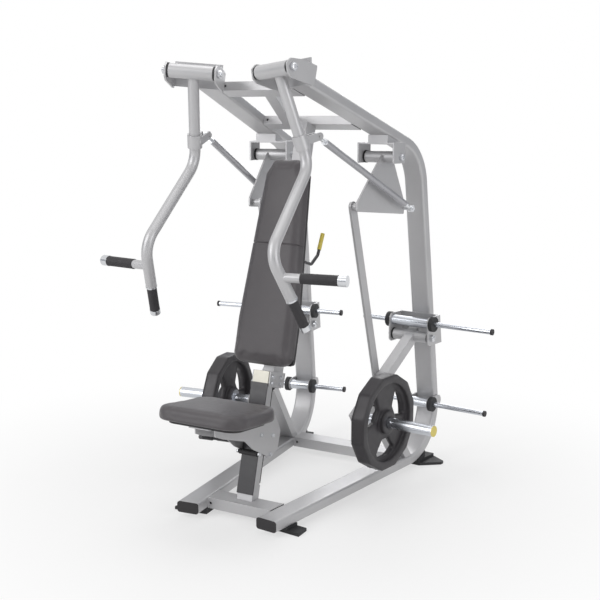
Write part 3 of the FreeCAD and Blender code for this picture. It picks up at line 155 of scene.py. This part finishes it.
def dark_surround():
    """A dark studio wall all round, seen only in polished surfaces: it draws the dark bands of chrome."""
    bpy.ops.mesh.primitive_cylinder_add(vertices=96, radius=9.0, depth=3.4, end_fill_type="NOTHING",
                                        location=(0, 0, 2.3))
    wall = bpy.context.object
    wall.name = "dark_surround"
    for ray in ("camera", "diffuse", "transmission", "volume_scatter", "shadow"):
        setattr(wall, f"visible_{ray}", False)
    mat = bpy.data.materials.new("dark_surround")
    mat.use_nodes = True
    mat.cycles.emission_sampling = "NONE"
    tree = mat.node_tree
    glow = tree.nodes.new("ShaderNodeEmission")
    coord = tree.nodes.new("ShaderNodeTexCoord")
    split = tree.nodes.new("ShaderNodeSeparateXYZ")
    ramp = tree.nodes.new("ShaderNodeValToRGB")
    ramp.color_ramp.interpolation = "EASE"
    ramp.color_ramp.elements[0].color = ramp.color_ramp.elements[1].color = (0.86, 0.87, 0.89, 1)
    for place in (0.30, 0.62):
        ramp.color_ramp.elements.new(place).color = (0.12, 0.14, 0.18, 1)
    tree.links.new(coord.outputs["Generated"], split.inputs[0])
    tree.links.new(split.outputs["Z"], ramp.inputs["Fac"])
    tree.links.new(ramp.outputs["Color"], glow.inputs["Color"])
    tree.links.new(glow.outputs[0], tree.nodes["Material Output"].inputs["Surface"])
    wall.data.materials.append(mat)


camera()
world()
floor()
dark_surround()
softbox("key", (-2.2, -4.6, 3.8), (0, 0, 0.9), 2.6, 100)
softbox("low", (-2.2, -4.2, 1.5), (0, 0, 0.9), 1.5, 26)
softbox("fill", (4.8, -1.6, 2.2), (0, 0, 0.9), 2.2, 60)
softbox("top", (0.0, 0.4, 4.6), (0, 0, 0), 3.0, 60)
softbox("rear", (-1.5, 4.8, 2.8), (0, 0, 1.0), 2.6, 60)
scene.view_settings.view_transform = "Standard"


# ---------------------------------------------------------------- materials

class Shader:
    """A Principled material whose colour, roughness and relief come from noise in the object's own space."""

    def __init__(self, name, colour, rough, metal=0.0, coat=0.0):
        self.mat = bpy.data.materials.new(name)
        self.mat.use_nodes = True
        self.tree = self.mat.node_tree
        self.bsdf = self.tree.nodes["Principled BSDF"]
        self.colour = (*colour, 1)
        self.rough = rough
        self.bsdf.inputs["Metallic"].default_value = metal
        self.bsdf.inputs["Coat Weight"].default_value = coat
        self.bsdf.inputs["Coat Roughness"].default_value = 0.2
        self.coord = self.tree.nodes.new("ShaderNodeTexCoord").outputs["Object"]
        self.normal = None

    def link(self, a, b):
        self.tree.links.new(a, b)

    def noise(self, scale, detail=3.0, stretch=None):
        tex = self.tree.nodes.new("ShaderNodeTexNoise")
        tex.inputs["Scale"].default_value = scale
        tex.inputs["Detail"].default_value = detail
        source = self.coord
        if stretch:
            mapping = self.tree.nodes.new("ShaderNodeMapping")
            mapping.inputs["Scale"].default_value = stretch
            self.link(source, mapping.inputs["Vector"])
            source = mapping.outputs["Vector"]
        self.link(source, tex.inputs["Vector"])
        return tex.outputs["Fac"]

    def cells(self, scale):
        tex = self.tree.nodes.new("ShaderNodeTexVoronoi")
        tex.feature = "DISTANCE_TO_EDGE"
        tex.inputs["Scale"].default_value = scale
        self.link(self.coord, tex.inputs["Vector"])
        return tex.outputs["Distance"]

    def spread(self, value, low, high, start=0.25, end=0.75):
        node = self.tree.nodes.new("ShaderNodeMapRange")
        for key, number in (("From Min", start), ("From Max", end), ("To Min", low), ("To Max", high)):
            node.inputs[key].default_value = number
        self.link(value, node.inputs["Value"])
        return node.outputs["Result"]

    def mix(self, factor, first, second):
        node = self.tree.nodes.new("ShaderNodeMix")
        node.data_type = "RGBA"
        if isinstance(factor, float):
            node.inputs[0].default_value = factor
        else:
            self.link(factor, node.inputs[0])
        for socket, value in ((node.inputs[6], first), (node.inputs[7], second)):
            if isinstance(value, tuple):
                socket.default_value = value
            else:
                self.link(value, socket)
        return node.outputs[2]

    def shade(self, factor):
        return tuple(min(1.0, c * factor) for c in self.colour[:3]) + (1,)

    def mottle(self, scale, amount, detail=4.0):
        """Slow or fine variation between a darker and a lighter shade of the colour."""
        value = self.spread(self.noise(scale, detail), 0.0, 1.0)
        self.paint(self.mix(value, self.shade(1 - amount), self.shade(1 + amount)))

    def paint(self, colour):
        self.painted = colour
        self.link(colour, self.bsdf.inputs["Base Color"])

    def polish(self, scale, amount, stretch=None):
        value = self.noise(scale, 5.0, stretch)
        self.link(self.spread(value, self.rough - amount, self.rough + amount), self.bsdf.inputs["Roughness"])

    def relief(self, height, strength, distance):
        bump = self.tree.nodes.new("ShaderNodeBump")
        bump.inputs["Strength"].default_value = strength
        bump.inputs["Distance"].default_value = distance
        self.link(height, bump.inputs["Height"])
        if self.normal:
            self.link(self.normal, bump.inputs["Normal"])
        self.normal = bump.outputs["Normal"]
        self.link(self.normal, self.bsdf.inputs["Normal"])

    def soften(self, radius):
        """Edges catch the light as if slightly rounded."""
        bevel = self.tree.nodes.new("ShaderNodeBevel")
        bevel.samples = 6
        bevel.inputs["Radius"].default_value = radius
        self.normal = bevel.outputs["Normal"]
        self.link(self.normal, self.bsdf.inputs["Normal"])


def silver_paint(name="silver_paint"):
    s = Shader(name, (0.525, 0.522, 0.532), 0.42, 0.40)
    s.soften(0.0022)
    slow = s.mix(s.spread(s.noise(5.0), 0.0, 1.0), s.shade(0.95), s.shade(1.04))
    flake = s.spread(s.noise(240.0, 1.0), 0.0, 1.0, 0.3, 0.7)
    s.paint(s.mix(flake, s.mix(0.05, slow, (0.25, 0.25, 0.26, 1)), slow))
    s.polish(24.0, 0.04)
    s.relief(s.noise(90.0, 1.0), 0.04, 0.0005)
    return s


def vinyl():
    s = Shader("vinyl", (0.082, 0.074, 0.080), 0.42)
    slow = s.mix(s.spread(s.noise(9.0), 0.0, 1.0), s.shade(0.92), s.shade(1.06))
    shaded_crease = s.spread(s.cells(620.0), 0.0, 1.0, 0.0, 0.12)
    # painted shade: the creases of the grain are painted darker, as shade in the hollows would look; the same
    # mask also presses them in as relief
    s.paint(s.mix(shaded_crease, s.mix(0.35, slow, (0.03, 0.03, 0.03, 1)), slow))
    s.polish(60.0, 0.05)
    s.relief(shaded_crease, 0.35, 0.0004)
    s.relief(s.noise(260.0, 4.0), 0.15, 0.0005)
    s.bsdf.inputs["Sheen Weight"].default_value = 0.08
    return s


def plain(name, colour, rough, metal=0.0, coat=0.0, grain=300.0, depth=0.0004, strength=0.2,
          amount=0.08, soft=0.0012):
    s = Shader(name, colour, rough, metal, coat)
    if soft:
        s.soften(soft)
    s.mottle(14.0, amount)
    s.polish(40.0, min(0.06, rough * 0.5))
    s.relief(s.noise(grain, 4.0), strength, depth)
    return s


def chrome():
    s = Shader("chrome", (0.58, 0.60, 0.64), 0.26, 1.0)
    s.mottle(7.0, 0.03)
    s.polish(12.0, 0.02)
    return s


def brushed_steel():
    s = Shader("steel", (0.62, 0.63, 0.65), 0.27, 1.0)
    s.soften(0.001)
    s.mottle(18.0, 0.06)
    s.polish(300.0, 0.10, (1, 1, 12))
    s.relief(s.noise(700.0, 3.0, (1, 1, 10)), 0.10, 0.0002)
    return s


def distance_mask(s, points, near, far):
    """1 close to any of the points, 0 beyond."""
    total = None
    for point in points:
        reach = s.tree.nodes.new("ShaderNodeVectorMath")
        reach.operation = "DISTANCE"
        reach.inputs[1].default_value = point
        s.link(s.coord, reach.inputs[0])
        mask = s.spread(reach.outputs["Value"], 1.0, 0.0, near, far)
        if total is not None:
            most = s.tree.nodes.new("ShaderNodeMath")
            most.operation = "MAXIMUM"
            s.link(total, most.inputs[0])
            s.link(mask, most.inputs[1])
            mask = most.outputs[0]
        total = mask
    return total


def rod_material(name, ends):
    """Painted tube whose two screwed rod ends are bright steel."""
    s = Shader(name, (0.40, 0.40, 0.42), 0.32, 0.55, 0.2)
    s.soften(0.001)
    bright = distance_mask(s, ends, 0.062, 0.066)
    slow = s.mix(s.spread(s.noise(12.0), 0.0, 1.0), s.shade(0.93), s.shade(1.06))
    s.paint(s.mix(bright, slow, (0.74, 0.75, 0.77, 1)))
    s.link(s.spread(bright, 0.45, 1.0, 0.0, 1.0), s.bsdf.inputs["Metallic"])
    s.polish(60.0, 0.07)
    s.relief(s.noise(420.0, 2.0), 0.10, 0.0005)
    return s


def horn_cap_material(name, node, axis):
    """A metal ring with a yellow face."""
    s = Shader(name, (0.74, 0.60, 0.09), 0.32, 0.0, 0.4)
    tip = max(v.co.dot(Vector(axis)) for v in NODES[node].data.vertices)
    along = s.tree.nodes.new("ShaderNodeVectorMath")
    along.operation = "DOT_PRODUCT"
    along.inputs[1].default_value = axis
    s.link(s.coord, along.inputs[0])
    face = s.spread(along.outputs["Value"], 0.0, 1.0, tip - 0.0042, tip - 0.0038)
    slow = s.mix(s.spread(s.noise(16.0), 0.0, 1.0), s.shade(0.94), s.shade(1.05))
    s.paint(s.mix(face, (0.62, 0.63, 0.65, 1), slow))
    s.link(s.spread(face, 1.0, 0.0, 0.0, 1.0), s.bsdf.inputs["Metallic"])
    s.polish(60.0, 0.05)
    return s


def column_material():
    """The painted tube of the seat column, whose bare face above the cover is a warmer, paler tone."""
    s = silver_paint("column_paint")
    split = s.tree.nodes.new("ShaderNodeSeparateXYZ")
    s.link(s.coord, split.inputs[0])
    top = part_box("column_front_cover")[1].z
    high = s.spread(split.outputs["Z"], 0.0, 1.0, top - 0.004, top - 0.002)
    s.paint(s.mix(high, s.painted, (0.60, 0.58, 0.51, 1)))
    return s


SHADERS = {
    "frame_paint": silver_paint(),
    "vinyl": vinyl(),
    "board": plain("board", (0.030, 0.028, 0.030), 0.62, grain=240.0, strength=0.3),
    "chrome": chrome(),
    "steel": brushed_steel(),
    "rubber": plain("rubber", (0.022, 0.022, 0.024), 0.66, grain=500.0, strength=0.3, amount=0.2),
    "grip": plain("grip", (0.024, 0.022, 0.025), 0.58, grain=650.0, strength=0.3, amount=0.15),
    "yellow": plain("yellow", (0.74, 0.60, 0.09), 0.32, coat=0.4, strength=0.06, amount=0.06),
    "black_paint": plain("black_paint", (0.030, 0.028, 0.032), 0.38, coat=0.15, grain=420.0, strength=0.12),
    "iron": plain("iron", (0.030, 0.027, 0.031), 0.42, 0.1, grain=210.0, depth=0.0006, strength=0.3,
                  amount=0.14, soft=0.020),
    "black_plastic": plain("black_plastic", (0.018, 0.016, 0.018), 0.55, grain=700.0, strength=0.12),
}


def wear(obj, mat):
    obj.data.materials.clear()
    obj.data.materials.append(mat)


def paint_cad():
    for name, obj in NODES.items():
        wear(obj, SHADERS[SLOT[name]].mat)
    joints = {j["name"]: j for j in frame["joints"]}
    for side in ("right", "left"):
        front = Vector(joints[f"{side}_tie_rod_pin"]["pos_m"])
        ends = (front, far_end(f"{side}_tie_rod", front))
        wear(NODES[f"{side}_tie_rod"], rod_material(f"{side}_rod", ends).mat)
        wear(NODES[f"{side}_horn_end_cap"], horn_cap_material(f"{side}_horn_cap", f"{side}_horn_end_cap",
                                                              joints[f"{side}_plate_slide"]["axis"]).mat)
    wear(NODES["seat_column"], column_material().mat)


# ---------------------------------------------------------------- reading the CAD shapes

def islands(node):
    """The separate solids of a CAD node as arrays of points."""
    bm = bmesh.new()
    bm.from_mesh(NODES[node].data)
    bmesh.ops.remove_doubles(bm, verts=bm.verts, dist=1e-5)
    left, found = set(bm.verts), []
    while left:
        stack, group = [left.pop()], []
        while stack:
            vert = stack.pop()
            group.append(tuple(vert.co))
            for edge in vert.link_edges:
                other = edge.other_vert(vert)
                if other in left:
                    left.remove(other)
                    stack.append(other)
        found.append(np.array(group))
    bm.free()
    return sorted(found, key=lambda g: tuple(np.round(g.mean(0), 4)))


def long_axis(points):
    """Both ends of a long round solid, on its axis, and its radius."""
    middle = (points.max(0) + points.min(0)) / 2
    spread = points - points.mean(0)
    axis = np.linalg.svd(spread, full_matrices=False)[2][0]
    along = (points - middle) @ axis
    across = np.linalg.norm((points - middle) - np.outer(along, axis), axis=1)
    a, b = (Vector(middle + axis * t) for t in (along.min(), along.max()))
    return a, b, float(across.max())


def far_end(node, point):
    """The point of a node's long axis that is farthest from the given one, less a rod end's radius."""
    cloud = np.concatenate(islands(node))
    away = np.linalg.norm(cloud - np.array(point), axis=1)
    tip = cloud[away > away.max() - 0.012].mean(0)
    return Vector(tip) + (point - Vector(tip)).normalized() * 0.012


def end_loop(node, toward):
    """Outline of the flat end that faces a direction, in order."""
    bm = bmesh.new()
    bm.from_mesh(NODES[node].data)
    toward = Vector(toward).normalized()
    faces = [f for f in bm.faces if f.normal.dot(toward) > 0.93]
    reach = max(f.calc_center_median().dot(toward) for f in faces)
    points = {tuple(round(c, 5) for c in v.co) for f in faces for v in f.verts
              if f.calc_center_median().dot(toward) > reach - 0.02}
    bm.free()
    cloud = np.array(sorted(points))
    middle = cloud.mean(0)
    _, _, axes = np.linalg.svd(cloud - middle, full_matrices=False)
    flat = (cloud - middle) @ axes[:2].T
    order = hull(flat)
    return [Vector(middle + flat[i] @ axes[:2]) for i in order]


def hull(flat):
    """Indices of the convex outline of flat points, in order."""
    order = sorted(range(len(flat)), key=lambda i: tuple(flat[i]))

    def chain(indices):
        kept = []
        for i in indices:
            while len(kept) > 1:
                a, b = flat[kept[-2]], flat[kept[-1]]
                turn = (b[0] - a[0]) * (flat[i][1] - a[1]) - (b[1] - a[1]) * (flat[i][0] - a[0])
                if turn > 1e-9:
                    break
                kept.pop()
            kept.append(i)
        return kept[:-1]

    return chain(order) + chain(order[::-1])


# ---------------------------------------------------------------- mesh pieces

def piece(name, bm, mat, body, smooth=True):
    """Turns a bmesh into a finished piece that rides on a body."""
    bmesh.ops.recalc_face_normals(bm, faces=bm.faces)
    data = bpy.data.meshes.new(name)
    bm.to_mesh(data)
    bm.free()
    for face in data.polygons:
        face.use_smooth = smooth
    obj = bpy.data.objects.new(name, data)
    scene.collection.objects.link(obj)
    data.materials.append(mat)
    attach(obj, body)
    return obj


def lathe(bm, start, end, profile, turns=48):
    """Revolves (along, radius) pairs, both in metres, about the line from start to end."""
    axis = (end - start).normalized()
    side = axis.orthogonal().normalized()
    up = axis.cross(side)
    rings = []
    for along, radius in profile:
        centre = start + axis * along
        if radius < 1e-6:
            rings.append([bm.verts.new(centre)])
            continue
        rings.append([bm.verts.new(centre + (side * math.cos(a) + up * math.sin(a)) * radius)
                      for a in (2 * math.pi * i / turns for i in range(turns))])
    for low, high in zip(rings, rings[1:]):
        for i in range(turns):
            j = (i + 1) % turns
            corners = [low[i % len(low)], low[j % len(low)], high[j % len(high)], high[i % len(high)]]
            unique = list(dict.fromkeys(corners))
            if len(unique) > 2:
                bm.faces.new(unique)


def ribbed_grip(side, number, start, end, radius):
    """A moulded rubber grip: a collar at each end and shallow ribs between."""
    long = (end - start).length
    profile = [(0.0, radius - 0.008), (0.0, radius - 0.0012), (0.001, radius), (0.005, radius),
               (0.006, radius - 0.0008)]
    pitch = 0.0052
    count = int((long - 0.014) / pitch)
    first = (long - count * pitch) / 2
    for i in range(count):
        z = first + i * pitch
        profile += [(z, radius - 0.0014), (z + 0.0012, radius - 0.0005), (z + 0.0026, radius - 0.0002),
                    (z + 0.0040, radius - 0.0005)]
    profile += [(long - 0.006, radius - 0.0008), (long - 0.005, radius), (long - 0.001, radius),
                (long, radius - 0.0012), (long, radius - 0.008)]
    bm = bmesh.new()
    lathe(bm, start, end, profile, 56)
    return piece(f"{side}_grip_{number}", bm, SHADERS["grip"].mat, f"{side}_arm")


def grips():
    for side in ("right", "left"):
        made = [ribbed_grip(side, i, *long_axis(points))
                for i, points in enumerate(islands(f"{side}_hand_grips"))]
        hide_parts(f"{side}_hand_grips")


def button_head(bm, centre, axis, radius, high):
    """A domed bolt head with a hexagon socket."""
    profile = [(0, 0), (0, radius), (high * 0.25, radius), (high * 0.7, radius * 0.88),
               (high, radius * 0.62), (high, radius * 0.40), (high * 0.45, radius * 0.38), (high * 0.40, 0)]
    lathe(bm, centre, centre + axis, profile, 36)


def hex_head(bm, centre, axis, radius, high):
    """A washer and a hexagon head."""
    washer = 0.0016
    ring = [(0, 0), (0, radius * 1.25), (0.0012, radius * 1.25), (washer, radius * 1.2), (washer, 0)]
    head = [(0, 0), (0, radius), (high * 0.8, radius), (high, radius * 0.86), (high, 0)]
    lathe(bm, centre, centre + axis, ring, 36)
    lathe(bm, centre + axis * washer, centre + axis, head, 6)


def pivot_heads():
    bm = bmesh.new()
    for points in islands("pivot_bolts"):
        a, b, _ = long_axis(points)
        along = (b - a).normalized()
        button_head(bm, b - along * 0.0005, along, 0.0135, 0.005)
        button_head(bm, a + along * 0.0005, -along, 0.0135, 0.005)
    piece("pivot_bolt_faces", bm, SHADERS["steel"].mat, "frame", False)


def side_bolts(node, name, body):
    """Hexagon heads on the outer ends of bolts that run across the machine."""
    bm = bmesh.new()
    for points in islands(node):
        low, high = Vector(points.min(0)), Vector(points.max(0))
        middle = (low + high) / 2
        radius = (high.z - low.z) / 2
        for x, way in ((high.x, 1), (low.x, -1)):
            if x * way > 0.04:
                face = Vector((x - way * 0.0008, middle.y, middle.z))
                hex_head(bm, face, Vector((way, 0, 0)), radius * 0.82, 0.004)
    piece(name, bm, SHADERS["steel"].mat, body, False)


def bead_along(bm, loop, radius, step=0.0035):
    """A rippled weld bead round a closed outline."""
    points, sides = [], 8
    for a, b in zip(loop, loop[1:] + loop[:1]):
        count = max(1, round((b - a).length / step))
        points += [a.lerp(b, i / count) for i in range(count)]
    rings = []
    for i, p in enumerate(points):
        run = (points[(i + 1) % len(points)] - points[i - 1]).normalized()
        out = run.orthogonal().normalized()
        up = run.cross(out)
        size = radius * (0.85 + 0.22 * math.sin(i * 1.9) + 0.15 * noise.noise(p * 300))
        rings.append([bm.verts.new(p + (out * math.cos(t) + up * math.sin(t)) * size)
                      for t in (2 * math.pi * k / sides for k in range(sides))])
    for i, ring in enumerate(rings):
        after = rings[(i + 1) % len(rings)]
        shift = min(range(sides), key=lambda k: (after[k].co - ring[0].co).length)
        for k in range(sides):
            bm.faces.new((ring[k], ring[(k + 1) % sides],
                          after[(k + 1 + shift) % sides], after[(k + shift) % sides]))


def welds():
    bm = bmesh.new()
    for node in ("front_base_crossmember", "rear_base_crossmember"):
        for way in (1, -1):
            bead_along(bm, end_loop(node, (way, -FRAME_TOE, 0)), 0.0026)
    piece("frame_welds", bm, SHADERS["frame_paint"].mat, "frame")


# ---------------------------------------------------------------- cushions

def local_frame(tip_back):
    """Columns: across, rearward, and up along a lean of that many degrees toward the rear."""
    a = math.radians(tip_back)
    return Matrix(((1, 0, 0), (0, math.cos(a), math.sin(a)), (0, -math.sin(a), math.cos(a)))).to_4x4()


def local_points(node, place):
    inverse = place.inverted()
    return np.array([inverse @ v.co for v in NODES[node].data.vertices])


def rounded_outline(corners, radii, steps=8):
    """Closed outline with each corner rounded by its own radius."""
    points = []
    for i, corner in enumerate(corners):
        here, before, after = (Vector(c) for c in (corner, corners[i - 1], corners[(i + 1) % len(corners)]))
        u, v = (before - here).normalized(), (after - here).normalized()
        half = math.acos(max(-1, min(1, u.dot(v)))) / 2
        reach = radii[i] / math.tan(half)
        centre = here + (u + v).normalized() * (radii[i] / math.sin(half))
        a, b = here + u * reach - centre, here + v * reach - centre
        turn = a.angle(b)
        for k in range(steps + 1):
            t = k / steps
            points.append(centre + (a * math.sin((1 - t) * turn) + b * math.sin(t * turn)) / math.sin(turn))
    return points


def inset_point(outline, i, amount):
    before, here, after = outline[i - 1], outline[i], outline[(i + 1) % len(outline)]
    run = (after - before).normalized()
    return here + Vector((-run.y, run.x)) * amount


def padded_shell(outline, thick, front_round, back_round):
    """Stacked insets of the outline (counter-clockwise): z runs from the board side (0) to the face."""
    layers = []
    for k in range(5):
        a = math.pi / 2 * k / 4
        layers.append((back_round * (1 - math.sin(a)), back_round * (1 - math.cos(a))))
    for k in range(9):
        a = math.pi / 2 * k / 8
        layers.append((front_round * (1 - math.cos(a)), thick - front_round * (1 - math.sin(a))))
    bm = bmesh.new()
    rings = [[bm.verts.new((*inset_point(outline, i, inset), z)) for i in range(len(outline))]
             for inset, z in layers]
    for low, high in zip(rings, rings[1:]):
        for i in range(len(outline)):
            j = (i + 1) % len(outline)
            bm.faces.new((low[i], low[j], high[j], high[i]))
    bm.faces.new(rings[0][::-1])
    bm.faces.new(rings[-1])
    return bm


def remeshed(obj, size):
    mod = obj.modifiers.new("remesh", "REMESH")
    mod.mode, mod.voxel_size = "VOXEL", size
    apply_all(obj)


def apply_all(obj):
    graph = bpy.context.evaluated_depsgraph_get()
    mesh = bpy.data.meshes.new_from_object(obj.evaluated_get(graph))
    old = obj.data
    obj.modifiers.clear()
    obj.data = mesh
    bpy.data.meshes.remove(old)


def inflate(obj, cap):
    """Swells the cover with a short cloth simulation, held on its board side, and limits the movement."""
    rest = np.array([v.co for v in obj.data.vertices])
    group = obj.vertex_groups.new(name="held")
    group.add([v.index for v in obj.data.vertices if v.co.z < 0.004], 1.0, "REPLACE")
    cloth = obj.modifiers.new("cloth", "CLOTH")
    cloth.settings.use_pressure = True
    cloth.settings.uniform_pressure_force = 3.0
    cloth.settings.quality = 5
    cloth.settings.mass = 0.4
    cloth.settings.vertex_group_mass = "held"
    cloth.settings.effector_weights.gravity = 0.0
    cloth.point_cache.frame_start, cloth.point_cache.frame_end = 1, 20
    for number in range(1, 21):
        scene.frame_set(number)
    apply_all(obj)
    scene.frame_set(1)
    moved = np.array([v.co for v in obj.data.vertices]) - rest
    length = np.linalg.norm(moved, axis=1, keepdims=True)
    moved *= np.minimum(1.0, cap / np.maximum(length, 1e-9))
    for vert, start, step in zip(obj.data.vertices, rest, moved):
        vert.co = start + step
        vert.co.z = max(0.0, vert.co.z)


def crown(obj, half_x, low_y, high_y, thick, amount):
    """A slow swell of the face toward its middle."""
    for vert in obj.data.vertices:
        u = vert.co.x / half_x
        v = (vert.co.y - (low_y + high_y) / 2) / ((high_y - low_y) / 2)
        share = max(0.0, 1 - u * u) * max(0.0, 1 - v ** 4)
        vert.co.z += amount * share * max(0.0, vert.co.z / thick)


def seam(obj, height, depth, width):
    """Presses a straight sewn joint across the pad, finely meshed beside the line."""
    bm = bmesh.new()
    bm.from_mesh(obj.data)
    for k in (-2, -1, -0.4, 0.4, 1, 2):
        geom = bm.verts[:] + bm.edges[:] + bm.faces[:]
        bmesh.ops.bisect_plane(bm, geom=geom, plane_co=(0, height + k * width, 0), plane_no=(0, 1, 0))
    half_thick = 0.03
    for vert in bm.verts:
        off = (vert.co.y - height) / width
        if abs(off) < 2.6 and vert.co.z > 0.006:
            inward = Vector((vert.co.x * 0.55, 0, max(0.0, vert.co.z - half_thick))).normalized()
            vert.co -= inward * depth * math.exp(-off * off * 1.6)
    bm.to_mesh(obj.data)
    bm.free()


def cushion(name, shell, thick, half_x, low_y, high_y, swell, cap):
    """A closed cover, remeshed evenly, crowned and blown up."""
    data = bpy.data.meshes.new(name)
    bmesh.ops.recalc_face_normals(shell, faces=shell.faces)
    shell.to_mesh(data)
    shell.free()
    obj = bpy.data.objects.new(name, data)
    scene.collection.objects.link(obj)
    remeshed(obj, 0.0055)
    crown(obj, half_x, low_y, high_y, thick, swell)
    inflate(obj, cap)
    ease = obj.modifiers.new("ease", "SMOOTH")
    ease.factor, ease.iterations = 0.5, 6
    apply_all(obj)
    return obj


def finish_cushion(obj, place, node, body):
    sub = obj.modifiers.new("fine", "SUBSURF")
    sub.levels = sub.render_levels = 1
    apply_all(obj)
    obj.data.transform(place)
    for face in obj.data.polygons:
        face.use_smooth = True
    obj.data.materials.clear()
    obj.data.materials.append(SHADERS["vinyl"].mat)
    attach(obj, body)
    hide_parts(node)


def back_cushion():
    """Tapered pad with cut-off top corners, rounded face edges and one sewn joint across it."""
    lift = local_frame(BACK_LEAN)
    cloud = local_points("back_pad", lift)
    low, high = cloud.min(0), cloud.max(0)
    inset = 0.006
    half, thick = high[0] - inset, high[1] - low[1] - 0.004
    foot, top = low[2] + inset, high[2] - 0.004
    tip = float(np.abs(cloud[cloud[:, 2] > high[2] - 0.075][:, 0]).max()) - inset
    crest = float(np.abs(cloud[cloud[:, 2] > high[2] - 0.005][:, 0]).max()) - inset
    straight = foot + 0.2
    corners = [(-half, foot), (half, foot), (half, straight), (tip, top - 0.066), (crest, top),
               (-crest, top), (-tip, top - 0.066), (-half, straight)]
    outline = rounded_outline(corners, (0.048, 0.048, 0.3, 0.03, 0.02, 0.02, 0.03, 0.3))
    shell = padded_shell(outline, thick, front_round=0.030, back_round=0.007)
    obj = cushion("back_cushion", shell, thick, half, foot, top, swell=0.004, cap=0.005)
    seam(obj, SEAM_UP, 0.0045, 0.0022)
    # the outline's second axis is the lean, its third the way out of the face
    turn = Matrix(((1, 0, 0), (0, 0, -1), (0, 1, 0))).to_4x4()
    turn.translation = (0, high[1], 0)
    finish_cushion(obj, lift @ turn, "back_pad", "frame")


def seat_cushion():
    """Wide soft seat pad with a rounded front, fuller than the back pad."""
    tilt = local_frame(SEAT_TILT)
    cloud = local_points("seat_pad", tilt)
    low, high = cloud.min(0), cloud.max(0)
    inset = 0.006
    half, thick = high[0] - inset, high[2] - low[2] - 0.005
    front, rear = low[1] + inset, high[1] - inset
    corners = [(-half, front), (half, front), (half - 0.012, rear), (-half + 0.012, rear)]
    outline = rounded_outline(corners, (0.078,) * 4, 14)
    shell = padded_shell(outline, thick, front_round=0.020, back_round=0.012)
    obj = cushion("seat_cushion", shell, thick, half, front, rear, swell=0.003, cap=0.004)
    lower = Matrix.Translation((0, 0, low[2]))
    finish_cushion(obj, tilt @ lower, "seat_pad", "seat")


# ---------------------------------------------------------------- the machine

paint_cad()
back_cushion()
seat_cushion()
grips()
pivot_heads()
side_bolts("carriage_bolts", "carriage_bolt_heads", "seat")
side_bolts("column_bracket_bolts", "bracket_bolt_heads", "frame")
welds()
